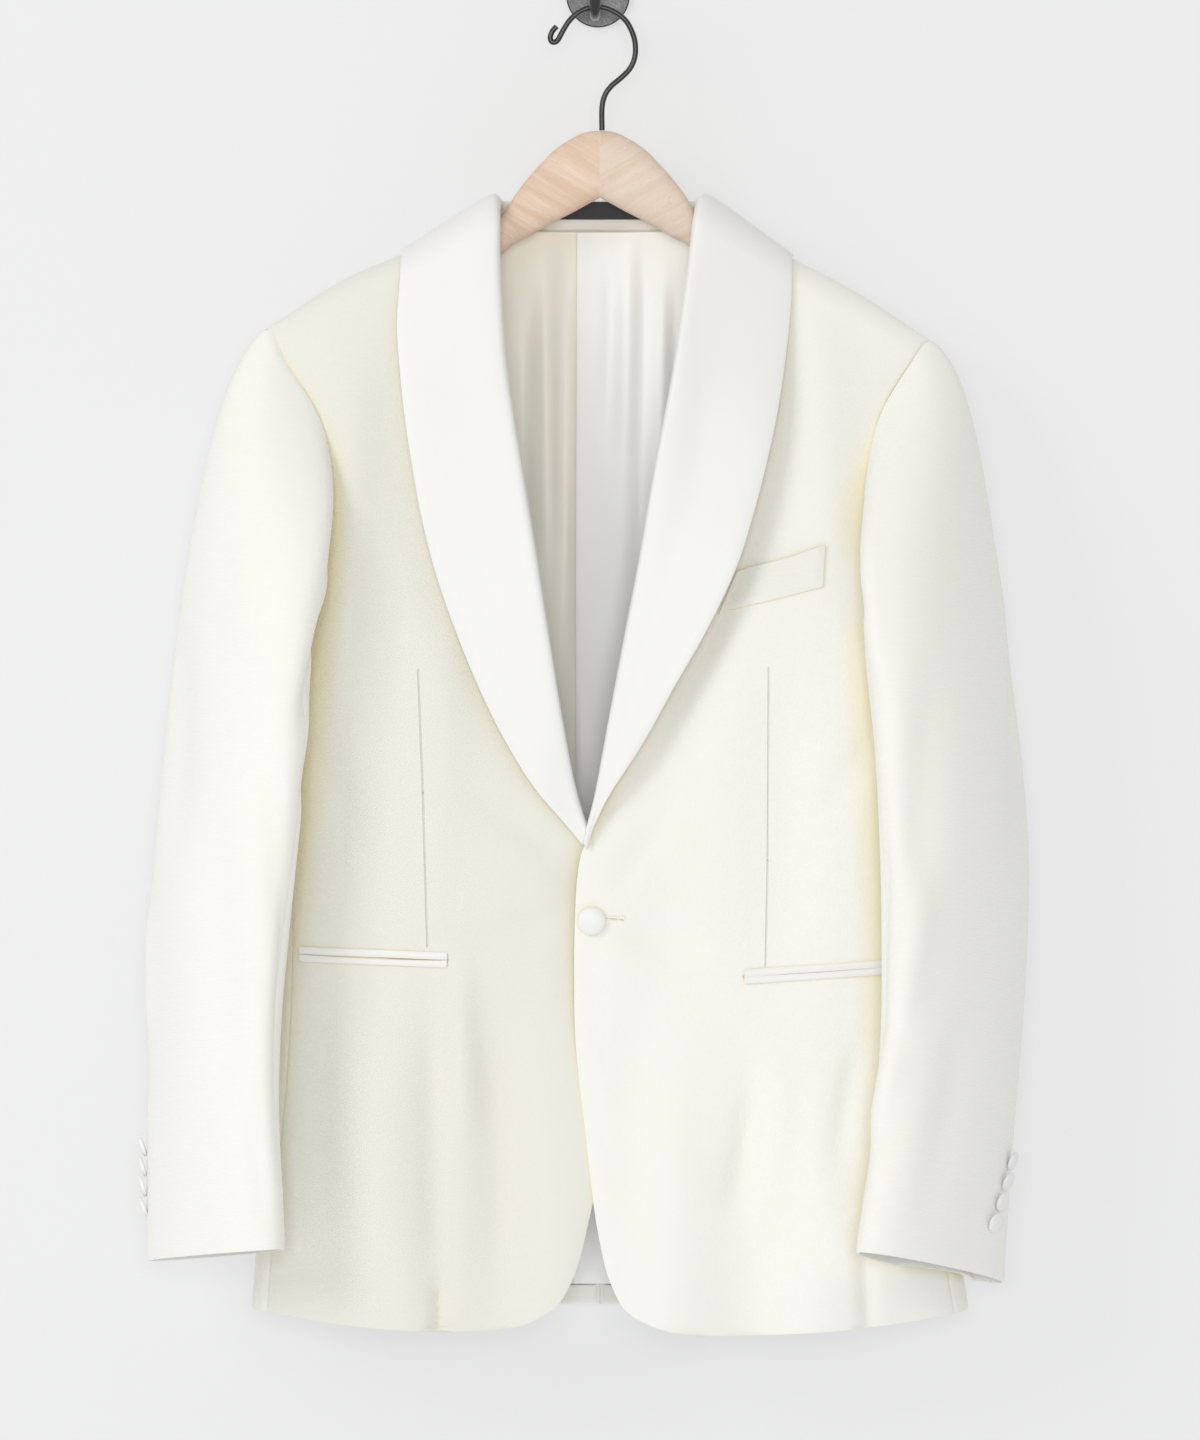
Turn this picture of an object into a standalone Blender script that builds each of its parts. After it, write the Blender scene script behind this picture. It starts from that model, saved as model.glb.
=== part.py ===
"""Ivory dinner jacket on a wooden hanger that hangs from a round wall hook.

Metres, +Z up. The front faces -Y and the wall is the plane Y = 0. The origin is
the middle of the wall plate's back face. The garment is laid out from the hook
seat, where the hanger's wire rests on the wall peg: "out" is the distance from
the centre line towards one side, "drop" the distance below the seat, and "wrap"
the distance along the cloth from the shoulder ridge, positive down the front
and negative down the back. "left" is the wearer's left, at +X.
"""
import math

import bmesh
import bpy
from mathutils import Matrix, Vector

# ---- Driving sizes ---------------------------------------------------------
HOOK_SEAT = Vector((0.0014, -0.058, -0.0126))
SEAM = 0.0004
CLOTH = 0.002
HEM_WALL = 0.0014
HEM_GAP = 0.0009
SATIN = 0.0014
LINING = 0.001
LINING_GAP = 0.0013
SIDES = {"left": 1, "right": -1}
SIDE_NAMES = {1: "left", -1: "right"}

SHOULDER_ROLL = 0.018
NECK_OUT = 0.068
NECK_SEAM_OUT = 0.076
NECK_TURN = 1.831
NECK_DROP = 0.1375
NECK_SLOPE = 1.2
SHOULDER_SLOPE = {1: 0.595, -1: 0.535}
SHOULDER_BOW = {1: 0.003, -1: 0.005}
SHOULDER_BOW_START = 0.125
SHOULDER_BOW_WIDTH = 0.11
BACK_NECK_DROP = 0.154
BACK_HEM_DROP = 0.913
SECTION_POWER = 2.4

ARMHOLE_DEPTH = 0.31
ARMHOLE_FRONT = 0.42
ARMHOLE_BACK = 0.36
ARMHOLE_LEAN = {1: 0.40, -1: 0.75}
ARMHOLE_LEAN_END = 0.21
ARMHOLE_LEAN_POWER = 2.3
SIDE_FRONT_SEAM = 0.80
SIDE_BACK_SEAM = 1.30
LAP_STEP = 0.0029
LAP_LIFT = 0.0056

LAPEL_ROLL = 0.006
COLLAR_FRONT_SHARE = 0.69
SHOULDER_EDGE = 0.136
COLLAR_END = {1: 0.586, -1: 0.571}

SLEEVE_START = 0.47
SLEEVE_CAP_SHARE = 0.34
ARMHOLE_CLEAR = 0.34
RING_TALL = 0.968
RING_DEEP = 0.945
RING_AHEAD = 0.0014
RING_OUT = 0.0019
SLEEVE_CLEARANCE = 0.0080
SLEEVE_SEAM_FRONT = 112
SLEEVE_SEAM_BACK = -96
SLEEVE_SEAM_GAP = 0.35

POCKET_JET = 0.0048
WELT = 0.0018
FRONT_BUTTON = 0.020
FRONT_BUTTON_THICK = 0.0048
FRONT_BUTTON_AT = (-0.006, 0.6405)
CUFF_BUTTON = 0.0145
CUFF_BUTTON_THICK = 0.0032
CUFF_BUTTON_PITCH = 0.0132
CUFF_BUTTON_TILT = math.radians(18)

WIRE = 0.0039
PLATE = 0.045
PLATE_THICK = 0.004
PEG = 0.007


def table(columns, *rows):
    """Turn rows of numbers into named columns; the first column is the key."""
    names = columns.split()
    return {name: [row[i] for row in rows] for i, name in enumerate(names)}


BODY = table(
    "drop left right",
    (0.10, 0.232, 0.232), (0.24, 0.2305, 0.2305), (0.34, 0.231, 0.231), (0.44, 0.232, 0.232),
    (0.55, 0.227, 0.227), (0.65, 0.225, 0.224), (0.75, 0.232, 0.228), (0.85, 0.247, 0.238),
    (0.935, 0.261, 0.2445))

DEPTH = table(
    "below front back",
    (0.00, 0.000, 0.000), (0.03, 0.007, 0.010), (0.08, 0.018, 0.017), (0.15, 0.032, 0.022),
    (0.25, 0.043, 0.025), (0.40, 0.045, 0.023), (0.55, 0.040, 0.019), (0.70, 0.036, 0.018),
    (0.84, 0.035, 0.020))

HEM = table(
    "out left right",
    (0.00, 0.9320, 0.9285), (0.06, 0.9312, 0.9275), (0.12, 0.9305, 0.9280),
    (0.18, 0.9265, 0.9235), (0.24, 0.9185, 0.9150), (0.27, 0.9140, 0.9110))

FRONT_EDGE = table(
    "drop left right",
    (0.550, -0.003, 0.015), (0.585, -0.012, 0.002), (0.612, -0.016, -0.012),
    (0.640, -0.0175, -0.018), (0.674, -0.018, -0.018), (0.727, -0.017, -0.016),
    (0.787, -0.0105, -0.006), (0.846, -0.0035, 0.0070), (0.880, 0.003, 0.0152),
    (0.894, 0.0075, 0.0205), (0.910, 0.0155, 0.030), (0.918, 0.0245, 0.041),
    (0.924, 0.0370, 0.0545), (0.9270, 0.0465, 0.070), (0.9290, 0.0565, 0.088),
    (0.9308, 0.0760, 0.096))

ROLL_LINE = table(
    "drop left right",
    (0.132, 0.0665, 0.0690), (0.168, 0.0630, 0.0705), (0.2065, 0.0580, 0.0690),
    (0.2625, 0.0500, 0.0640), (0.3255, 0.0385, 0.0545), (0.3885, 0.0280, 0.0445),
    (0.4445, 0.0175, 0.0360), (0.5005, 0.0070, 0.0272), (0.5500, -0.0020, 0.0175),
    (0.5810, -0.0095, 0.0070), (0.6000, -0.0140, -0.0040))

LAPEL_EDGE = table(
    "drop left right",
    (0.175, 0.1330, 0.1375), (0.200, 0.1335, 0.1400), (0.2275, 0.1310, 0.1410),
    (0.2625, 0.1260, 0.1380), (0.3045, 0.1180, 0.1325), (0.3535, 0.1060, 0.1240),
    (0.3955, 0.0930, 0.1140), (0.4375, 0.0735, 0.1000), (0.4795, 0.0500, 0.0830),
    (0.5180, 0.0280, 0.0640), (0.5500, 0.0082, 0.0440), (0.5780, -0.0065, 0.0205),
    (0.5900, -0.0108, 0.0105), (0.6050, -0.0130, 0.0020))

BACK_COLLAR = table(
    "along roll_out roll_below edge_out edge_below",
    (0.00, 0.0680, 0.0000, 0.1360, 0.0000), (0.25, 0.0630, 0.0075, 0.1130, 0.0180),
    (0.50, 0.0500, 0.0211, 0.0800, 0.0394), (0.75, 0.0300, 0.0431, 0.0410, 0.0780),
    (1.00, 0.0004, 0.0781, 0.0004, 0.1256))

COLLAR_LIFT = table(
    "along lift",
    (0.00, 0.0), (0.10, 0.0005), (0.30, 0.003), (0.60, 0.0045), (0.72, 0.0045), (1.00, 0.004))

# The collar's section, from the tuck inside the front, over the roll, to the edge.
COLLAR_SECTION = table(
    "along near across lifted rise",
    (0.000, 0.0092, 0.00, 0.00, -0.0018), (0.125, 0.0052, 0.00, 0.00, -0.0017),
    (0.250, 0.0012, 0.00, 0.45, 0.0000), (0.375, 0.0000, 0.00, 0.85, 0.0016),
    (0.500, 0.0016, 0.00, 1.00, 0.0036), (0.625, 0.0012, 0.25, 0.65, 0.0036),
    (0.750, 0.0008, 0.50, 0.35, 0.0036), (0.875, 0.0004, 0.75, 0.12, 0.0036),
    (1.000, 0.0000, 1.00, 0.00, 0.0035))

SLEEVE_LEFT = table(
    "drop outer inner depth thick forward",
    (0.470, 0.2900, 0.1880, 0.083, 0.033, 0.030), (0.529, 0.2960, 0.1935, 0.082, 0.032, 0.033),
    (0.599, 0.3000, 0.1965, 0.080, 0.031, 0.037), (0.663, 0.2985, 0.1970, 0.077, 0.030, 0.041),
    (0.727, 0.2945, 0.1960, 0.075, 0.029, 0.045), (0.790, 0.2890, 0.1915, 0.073, 0.028, 0.050),
    (0.880, 0.2820, 0.1780, 0.070, 0.026, 0.058))

SLEEVE_RIGHT = table(
    "drop outer inner depth thick forward",
    (0.470, 0.3000, 0.2000, 0.083, 0.033, 0.030), (0.526, 0.3055, 0.2060, 0.082, 0.032, 0.032),
    (0.596, 0.3120, 0.2130, 0.080, 0.031, 0.036), (0.653, 0.3140, 0.2180, 0.077, 0.030, 0.039),
    (0.710, 0.3140, 0.2225, 0.075, 0.029, 0.042), (0.790, 0.3165, 0.2240, 0.073, 0.028, 0.047),
    (0.870, 0.3160, 0.2205, 0.070, 0.026, 0.052))

SLEEVES = {1: SLEEVE_LEFT, -1: SLEEVE_RIGHT}

# Which way the sleeve's head leaves the armhole, by bearing from the shoulder point.
SLEEVE_HEAD = table(
    "bearing out ahead down",
    (-180, 0.80, 0.00, 0.40), (-90, 0.50, -0.30, 0.60), (0, 0.50, 0.00, 0.50),
    (50, 0.10, 0.44, 0.80), (90, -0.22, 0.60, 0.80), (135, -0.02, 0.80, 0.50),
    (180, 0.80, 0.00, 0.40))
SLEEVE_HANG = 1.46
CUFF_END = {1: (0.870, 0.896), -1: (0.868, 0.881)}

# Broad vertical folds: place across, where they start and end, width and height.
FOLDS = table(
    "side face out top bottom width height",
    (-1, 1, 0.098, 0.640, 0.960, 0.030, 0.0045), (-1, 1, 0.150, 0.700, 0.960, 0.026, -0.0035),
    (-1, 1, 0.045, 0.660, 0.960, 0.024, -0.0030), (1, 1, 0.103, 0.700, 0.960, 0.026, -0.0050),
    (1, 1, 0.160, 0.680, 0.960, 0.030, 0.0035), (1, 1, 0.055, 0.680, 0.960, 0.024, 0.0035),
    (1, -1, 0.070, 0.420, 0.960, 0.030, -0.0045), (-1, -1, 0.078, 0.460, 0.960, 0.034, -0.0050),
    (1, -1, 0.150, 0.520, 0.960, 0.030, 0.0040), (-1, -1, 0.160, 0.480, 0.960, 0.030, 0.0040))

HANGER = table(
    "out below height thick",
    (0.000, 0.0301, 0.0470, 0.009), (0.010, 0.0191, 0.0515, 0.009), (0.020, 0.0116, 0.0525, 0.009),
    (0.032, 0.0052, 0.0505, 0.009), (0.041, 0.0034, 0.0465, 0.009), (0.050, 0.0026, 0.0420, 0.009),
    (0.060, 0.0035, 0.0340, 0.009), (0.068, 0.0070, 0.0280, 0.009), (0.084, 0.0068, 0.0270, 0.009),
    (0.100, 0.0016, 0.0305, 0.009), (0.130, 0.0018, 0.0285, 0.009), (0.165, 0.0022, 0.0255, 0.009),
    (0.205, 0.0018, 0.0225, 0.008),
    (0.214, 0.0045, 0.0150, 0.005))

POCKETS = table(
    "side inner_drop outer_drop slit",
    (1, 0.6750, 0.6680, 0.0006), (-1, 0.6630, 0.6594, 0.0014))
POCKET_ENDS = {1: (0.1005, 0.2090), -1: (0.1064, 0.2090)}

# Corners of the breast welt as out and drop, inner end then outer end.
WELT_TOP = ((0.0955, 0.397), (0.157, 0.378))
WELT_BOTTOM = ((0.0830, 0.4265), (0.1555, 0.4075))

CUFF_BUTTONS = table(
    "side first_drop bearing",
    (1, 0.8090, -45), (-1, 0.8005, -67))

HOOK_ROUTE = table(
    "out drop",
    (0.0014, 0.0857), (0.0014, 0.0700), (0.0035, 0.0610), (0.0080, 0.0545), (0.0145, 0.0490),
    (0.0205, 0.0430), (0.0240, 0.0360), (0.0250, 0.0280), (0.0235, 0.0190), (0.0185, 0.0090),
    (0.0105, 0.0025), (0.0010, -0.0010), (-0.0080, -0.0005), (-0.0155, 0.0030),
    (-0.0215, 0.0085), (-0.0260, 0.0155), (-0.0300, 0.0225), (-0.0335, 0.0235),
    (-0.0350, 0.0205), (-0.0335, 0.0160), (-0.0305, 0.0125))

PEG_ROUTE = table(
    "forward rise radius",
    (-0.0535, 0.0058, 1.15), (-0.0500, 0.0058, 1.1), (-0.0440, 0.0030, 1.0), (-0.0300, -0.0022, 1.0),
    (-0.0120, -0.0046, 1.0), (0.0020, -0.0049, 1.0), (0.0100, -0.0034, 1.05),
    (0.0150, 0.0005, 1.15), (0.0175, 0.0065, 1.3), (0.0185, 0.0125, 1.35), (0.0190, 0.0160, 1.0))


# ---- Reading the tables ----------------------------------------------------
def read(rows, column, value):
    """Read a column at a value of the key, on a smooth curve through the rows."""
    keys = next(iter(rows.values()))
    data = rows[column]
    last = len(keys) - 1
    value = min(max(value, keys[0]), keys[last])
    i = 0
    while i < last - 1 and value > keys[i + 1]:
        i += 1
    span = keys[i + 1] - keys[i]

    def slope(k):
        low = max(k - 1, 0)
        high = min(k + 1, last)
        return (data[high] - data[low]) / (keys[high] - keys[low])

    t = (value - keys[i]) / span
    hump = t * t * (3 - 2 * t)
    start = t * (1 - t) ** 2 * span * slope(i)
    end = t * t * (t - 1) * span * slope(i + 1)
    return data[i] * (1 - hump) + data[i + 1] * hump + start + end


def ease(value, low, high):
    """A smooth step from 0 at low to 1 at high."""
    t = min(max((value - low) / (high - low), 0.0), 1.0)
    return t * t * (3 - 2 * t)


def blend(a, b, t):
    return a + (b - a) * t


# ---- The form of the body --------------------------------------------------
def ridge(side, out):
    """Drop of the shoulder ridge, run on as a straight line over the neck."""
    if out < NECK_OUT:
        return NECK_DROP - NECK_SLOPE * (NECK_OUT - out)
    along = min(max((out - SHOULDER_BOW_START) / SHOULDER_BOW_WIDTH, 0.0), 1.0)
    bow = SHOULDER_BOW[side] * math.sin(math.pi * along) ** 2
    return NECK_DROP + SHOULDER_SLOPE[side] * (out - NECK_OUT) - bow


def wrap_at(below):
    """Distance along the cloth at a height below the ridge."""
    if below < SHOULDER_ROLL:
        return SHOULDER_ROLL * math.acos(1 - max(below, 0.0) / SHOULDER_ROLL)
    return SHOULDER_ROLL * math.pi / 2 + below - SHOULDER_ROLL


def unwrap(wrap):
    """Height below the ridge, and the depth of the roll there."""
    turn = abs(wrap) / SHOULDER_ROLL
    if turn < math.pi / 2:
        return SHOULDER_ROLL * (1 - math.cos(turn)), SHOULDER_ROLL * math.sin(turn)
    return SHOULDER_ROLL * (1 + turn - math.pi / 2), SHOULDER_ROLL


def folds(side, face, out, drop):
    """Height of the broad folds, out from the panel."""
    height = 0.0
    for row in zip(*FOLDS.values()):
        on_side, on_face, centre, top, bottom, width, rise = row
        if on_side == side and on_face == face:
            across = math.exp(-(((out - centre) / width) ** 2))
            height += rise * across * ease(drop, top, blend(top, bottom, 0.6))
    return height


def lap(side, out, drop):
    """Step of the fronts where the left one laps over the right one."""
    if side < 0:
        return -LAP_STEP * (1 - ease(out, 0.010, 0.045)) * ease(drop, 0.42, 0.55)
    tall = ease(drop, 0.44, 0.55) * (1 - ease(drop, 0.62, 0.76))
    return LAP_LIFT * (1 - ease(out, 0.008, 0.050)) * tall


def skin(side, out, wrap, flat=None):
    """A point of the inner face of the cloth."""
    below, roll = unwrap(wrap)
    drop = ridge(side, abs(out)) + below
    if flat is None:
        share = min(abs(out) / read(BODY, SIDE_NAMES[side], drop), 1.0)
        flat = (1 - share ** SECTION_POWER) ** (1 / SECTION_POWER)
    face = 1 if wrap >= 0 else -1
    deep = roll + read(DEPTH, "front" if face > 0 else "back", below)
    deep += folds(side, face, out, drop)
    if face > 0:
        deep += lap(side, out, drop)
    return Vector((side * out, -face * deep * flat, -drop))


def raised(side, out, wrap, rise):
    """A point moved out of the cloth's inner face along its normal."""
    step = 0.002
    face = 1 if wrap >= 0 else -1
    across = skin(side, out + step, wrap) - skin(side, out - step, wrap)
    low = face * max(abs(wrap) - step, 0.0)
    down = skin(side, out, face * (abs(wrap) + step)) - skin(side, out, low)
    normal = down.cross(across).normalized()
    if normal.dot(Vector((side * out * 2, -face, 0.5))) < 0:
        normal.negate()
    return skin(side, out, wrap) + normal * rise


def on_front(side, out, drop, rise):
    """A point on the front at a drop, moved out by a rise."""
    return raised(side, out, wrap_at(drop - ridge(side, abs(out))), rise)


def neck_seam(side, out):
    """Drop of the seam between the back and the collar."""
    return blend(BACK_NECK_DROP, ridge(side, NECK_SEAM_OUT), (out / NECK_SEAM_OUT) ** 6)


def hem_drop(side, turn, out):
    front = read(HEM, SIDE_NAMES[side], abs(out))
    return blend(front, BACK_HEM_DROP, ease(turn, 0.75, 1.15))


def top_wrap(side, turn, out):
    """Where a panel starts: at the ridge, or at the back neck seam."""
    if turn < 1 or out > NECK_SEAM_OUT:
        return 0.0
    return wrap_at(neck_seam(side, out) - ridge(side, out))


def place_round(side, turn, down):
    """Out and wrap at a turn, 0 centre front and 2 centre back, and a share down."""
    angle = turn * math.pi / 2
    across = math.copysign(abs(math.sin(angle)) ** (2 / SECTION_POWER), math.sin(angle))
    drop = blend(0.25, 0.92, down)
    for _ in range(6):
        out = across * read(BODY, SIDE_NAMES[side], drop)
        start = top_wrap(side, turn, abs(out))
        end = wrap_at(hem_drop(side, turn, out) - ridge(side, abs(out)))
        wrap = blend(start, end, down)
        drop = ridge(side, abs(out)) + unwrap(wrap)[0]
    return out, wrap, drop


def around(side, turn, down):
    """A point of the body by its turn and its share down."""
    out, wrap, _ = place_round(side, turn, down)
    flat = abs(math.cos(turn * math.pi / 2)) ** (2 / SECTION_POWER)
    return skin(side, out, wrap if turn <= 1 else -wrap, flat)


def turn_of(side, out, drop):
    share = out / read(BODY, SIDE_NAMES[side], drop)
    angle = math.asin(min(abs(share), 1.0) ** (SECTION_POWER / 2))
    return math.copysign(angle, share) / (math.pi / 2)


def armhole_lean(side, down):
    """Share of the armhole's reach at a share down, less near the shoulder."""
    return 1 - ARMHOLE_LEAN[side] * max(1 - down / ARMHOLE_LEAN_END, 0.0) ** ARMHOLE_LEAN_POWER


def armhole_turn(side, down, half):
    """How far the armhole reaches from the side at a share down."""
    middle = ARMHOLE_DEPTH / 2
    half *= armhole_lean(side, down)
    return half * math.sqrt(max(1 - ((down - middle) / middle) ** 2, 0.0))


def armhole_foot(turn):
    """The share down at which the armhole's lower edge crosses a turn."""
    half = ARMHOLE_FRONT if turn < 1 else ARMHOLE_BACK
    return ARMHOLE_DEPTH / 2 * (1 + math.sqrt(1 - ((turn - 1) / half) ** 2))


def seam_step(side, turn, down):
    """The turn that makes half a seam's gap."""
    step = 0.004
    a = around(side, turn - step, down)
    b = around(side, turn + step, down)
    return SEAM / 2 * 2 * step / (b - a).length


# ---- Making objects --------------------------------------------------------
def clear_scene():
    for thing in list(bpy.data.objects):
        bpy.data.objects.remove(thing, do_unlink=True)


def finish(name, colour, roughness, metallic=0.0):
    material = bpy.data.materials.new(name)
    material.use_nodes = True
    shader = material.node_tree.nodes["Principled BSDF"]
    shader.inputs["Base Color"].default_value = (*colour, 1.0)
    shader.inputs["Roughness"].default_value = roughness
    shader.inputs["Metallic"].default_value = metallic
    material.diffuse_color = (*colour, 1.0)
    return material


def add(name, mesh, look, stage):
    thing = bpy.data.objects.new(name, mesh)
    stage["collection"].objects.link(thing)
    thing.parent = stage["hang"]
    mesh.materials.append(finish(name, *look))
    return thing


def axis_of_body(point):
    return Vector((0.0, 0.0, point.z))


def sheet(name, stage, look, columns, rows, place, thick, middle=axis_of_body, inward=False):
    """A cloth wall: a grid laid on a form, thickened away from the middle."""
    bm = bmesh.new()
    bmesh.ops.create_grid(bm, x_segments=columns, y_segments=rows, size=0.5)
    for vert in bm.verts:
        vert.co = place(vert.co.x + 0.5, vert.co.y + 0.5)
    bm.normal_update()
    lean = 0.0
    for face in bm.faces:
        centre = face.calc_center_median()
        lean += face.normal.dot(centre - middle(centre)) * face.calc_area()
    if (lean < 0) != inward:
        bmesh.ops.reverse_faces(bm, faces=bm.faces[:])
    mesh = bpy.data.meshes.new(name)
    bm.to_mesh(mesh)
    bm.free()
    mesh.shade_smooth()
    thing = add(name, mesh, look, stage)
    wall = thing.modifiers.new("Cloth wall", "SOLIDIFY")
    wall.thickness = thick
    wall.offset = 1.0
    return thing


def loft(name, stage, look, ring, rows, place):
    """A closed solid: rings laid one after another, with flat ends."""
    bm = bmesh.new()
    bmesh.ops.create_grid(bm, x_segments=ring, y_segments=rows, size=0.5)
    for vert in bm.verts:
        vert.co = place(vert.co.x + 0.5, vert.co.y + 0.5)
    bmesh.ops.remove_doubles(bm, verts=bm.verts[:], dist=1e-6)
    bmesh.ops.holes_fill(bm, edges=[e for e in bm.edges if e.is_boundary], sides=0)
    bmesh.ops.recalc_face_normals(bm, faces=bm.faces[:])
    mesh = bpy.data.meshes.new(name)
    bm.to_mesh(mesh)
    bm.free()
    mesh.shade_smooth()
    mesh.set_sharp_from_angle(angle=math.radians(50))
    return add(name, mesh, look, stage)


# ---- Looks, as colour, roughness and metallic ------------------------------
WOOL = ((0.86, 0.83, 0.74), 0.85)
IVORY_SATIN = ((0.92, 0.91, 0.89), 0.35)
LINING_SATIN = ((0.88, 0.87, 0.86), 0.4)
LABEL = ((0.03, 0.03, 0.035), 0.7)
BEECH = ((0.79, 0.60, 0.42), 0.45)
BLACK_METAL = ((0.02, 0.02, 0.02), 0.3, 0.6)


# ---- Body panels -----------------------------------------------------------
def front(stage, label, side):
    def place(u, v):
        down = (1 - v) * v ** 1.5 + v * (1 - (1 - v) ** 1.6)
        drop = blend(NECK_DROP, 0.93, down)
        for _ in range(8):
            if drop < 0.59:
                inner = read(ROLL_LINE, label, drop) + LAPEL_ROLL
            else:
                inner = read(FRONT_EDGE, label, drop)
            turn = turn_of(side, inner, drop)
            drop = blend(drop, place_round(side, turn, down)[2], 0.6)
        if down < armhole_foot(SIDE_FRONT_SEAM):
            last = 1 - armhole_turn(side, down, ARMHOLE_FRONT)
        else:
            last = SIDE_FRONT_SEAM
        last -= seam_step(side, min(last, 0.97), max(down, 0.02))
        return around(side, blend(turn, last, u), down)

    sheet("front_" + label, stage, WOOL, 12, 24, place, CLOTH)


def side_panel(stage, label, side):
    def place(u, v):
        turn = blend(SIDE_FRONT_SEAM, SIDE_BACK_SEAM, u)
        down = blend(armhole_foot(turn) + 0.001, 1.0, v)
        turn += blend(1, -1, u) * seam_step(side, turn, down)
        return around(side, turn, down)

    sheet("side_" + label, stage, WOOL, 6, 16, place, CLOTH)


def back_turn(first, last, u):
    """Turns across the back, with a line of points under the neck point."""
    if u < 0.5:
        return blend(first, NECK_TURN, 2 * u)
    return blend(NECK_TURN, last, (2 * u - 1) ** 1.6)


def back_start(side, down):
    """The turn at which the back begins: on the armhole, or at the side seam."""
    if down < armhole_foot(SIDE_BACK_SEAM):
        return 1 + armhole_turn(side, down, ARMHOLE_BACK)
    return SIDE_BACK_SEAM


def back(stage, label, side):
    def place(u, v):
        down = v ** 1.5
        first = back_start(side, down)
        first += seam_step(side, max(first, 1.03), max(down, 0.02))
        last = 2 - seam_step(side, 1.96, max(down, 0.02))
        return around(side, back_turn(first, last, u), down)

    sheet("back_" + label, stage, WOOL, 10, 20, place, CLOTH)


# ---- Shawl collar ----------------------------------------------------------
def collar_row(label, along):
    """Roll line and outer edge as (out, wrap), from the button round to centre back."""
    side = SIDES[label]
    if along < COLLAR_FRONT_SHARE:
        up = 1 - (1 - along / COLLAR_FRONT_SHARE) ** 1.7
        roll_drop = blend(COLLAR_END[side], NECK_DROP, up)
        edge_drop = blend(COLLAR_END[side] + 0.004, ridge(side, SHOULDER_EDGE), up)
        roll_out = read(ROLL_LINE, label, roll_drop)
        edge_out = max(read(LAPEL_EDGE, label, edge_drop), roll_out + 0.004)
        roll = wrap_at(roll_drop - ridge(side, abs(roll_out)))
        edge = wrap_at(edge_drop - ridge(side, abs(edge_out)))
        return (roll_out, roll), (edge_out, edge)
    turn = ((along - COLLAR_FRONT_SHARE) / (1 - COLLAR_FRONT_SHARE)) ** 1.4
    roll = -wrap_at(read(BACK_COLLAR, "roll_below", turn))
    edge = -wrap_at(read(BACK_COLLAR, "edge_below", turn))
    return (read(BACK_COLLAR, "roll_out", turn), roll), (read(BACK_COLLAR, "edge_out", turn), edge)


def shawl(stage, label, side):
    def place(u, v):
        (roll_out, roll), (edge_out, edge) = collar_row(label, v)
        width = math.hypot(edge_out - roll_out, edge - roll)
        lift = read(COLLAR_LIFT, "lift", v)
        reach = read(COLLAR_SECTION, "near", u) + read(COLLAR_SECTION, "across", u) * width
        share = reach / width
        out = blend(roll_out, edge_out, share)
        wrap = blend(roll, edge, share)
        rise = read(COLLAR_SECTION, "rise", u) + read(COLLAR_SECTION, "lifted", u) * lift
        return raised(side, out, wrap, rise)

    sheet("shawl_" + label, stage, IVORY_SATIN, 8, 26, place, SATIN)


# ---- Inside of the back ----------------------------------------------------
def back_band(stage, name, look, ends, above, rise, thick, columns, bow):
    """A strip across the inside of the back neck, measured up from the neck seam."""
    def place(u, v):
        out = blend(ends[0], ends[1], u)
        seam = blend(BACK_NECK_DROP, neck_seam(1, abs(out)), bow)
        drop = seam - blend(above[0], above[1], v)
        return raised(1, out, -wrap_at(drop - ridge(1, abs(out))), rise)

    sheet(name, stage, look, columns, 2, place, thick)


def raised_round(side, turn, down, rise):
    """A point of the body by turn and share down, moved along its normal."""
    step = 0.01
    across = around(side, turn + step, down) - around(side, turn - step, down)
    low = max(down - step, 0.0)
    drop = around(side, turn, min(down + step, 1.0)) - around(side, turn, low)
    normal = across.cross(drop).normalized()
    point = around(side, turn, down)
    if normal.dot(Vector((point.x, point.y, 0.02))) < 0:
        normal.negate()
    return point + normal * rise


def lining(stage, label, side):
    """Half of the back lining; the left half laps over in the centre pleat."""
    last = 2.028 if side > 0 else 1.996

    def place(u, v):
        down = 0.981 * v
        turn = back_turn(back_start(side, down) + 0.02, last, u)
        out = abs(place_round(side, turn, down)[0])
        start = blend(0.006, 0.050, ease(out, 0.040, 0.070))
        down = blend(start, 0.981, v ** 1.2)
        pleat = 0.0022 * ease(turn, 1.93, 1.985) if side > 0 else 0.0
        return raised_round(side, turn, down, -LINING_GAP - LINING - pleat)

    sheet("lining_" + label, stage, LINING_SATIN, 10, 16, place, LINING)


def hem(stage, label, side):
    """The back's hem, turned up inside."""
    def place(u, v):
        turn = back_turn(SIDE_BACK_SEAM + 0.02, 1.997, u)
        return raised_round(side, turn, blend(0.9825, 0.9985, v), -HEM_GAP - HEM_WALL)

    sheet("hem_" + label, stage, WOOL, 10, 1, place, HEM_WALL)


# ---- Sleeves ---------------------------------------------------------------
def oval(side, bearing, drop):
    """A level section of the sleeve: bearing 0 outward, 90 front, 180 at the body."""
    rows = SLEEVES[side]
    outer, inner, deep, thick, forward = (read(rows, name, drop) for name in list(rows)[1:])
    half = (outer - inner) / 2
    yaw = math.asin(math.sqrt((half ** 2 - thick ** 2) / (deep ** 2 - thick ** 2)))
    angle = math.radians(90 - bearing)
    along = deep * math.cos(angle)
    across = thick * math.sin(angle)
    out = (outer + inner) / 2 - along * math.sin(yaw) + across * math.cos(yaw)
    y = -forward - along * math.cos(yaw) - across * math.sin(yaw)
    return out, y


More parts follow.
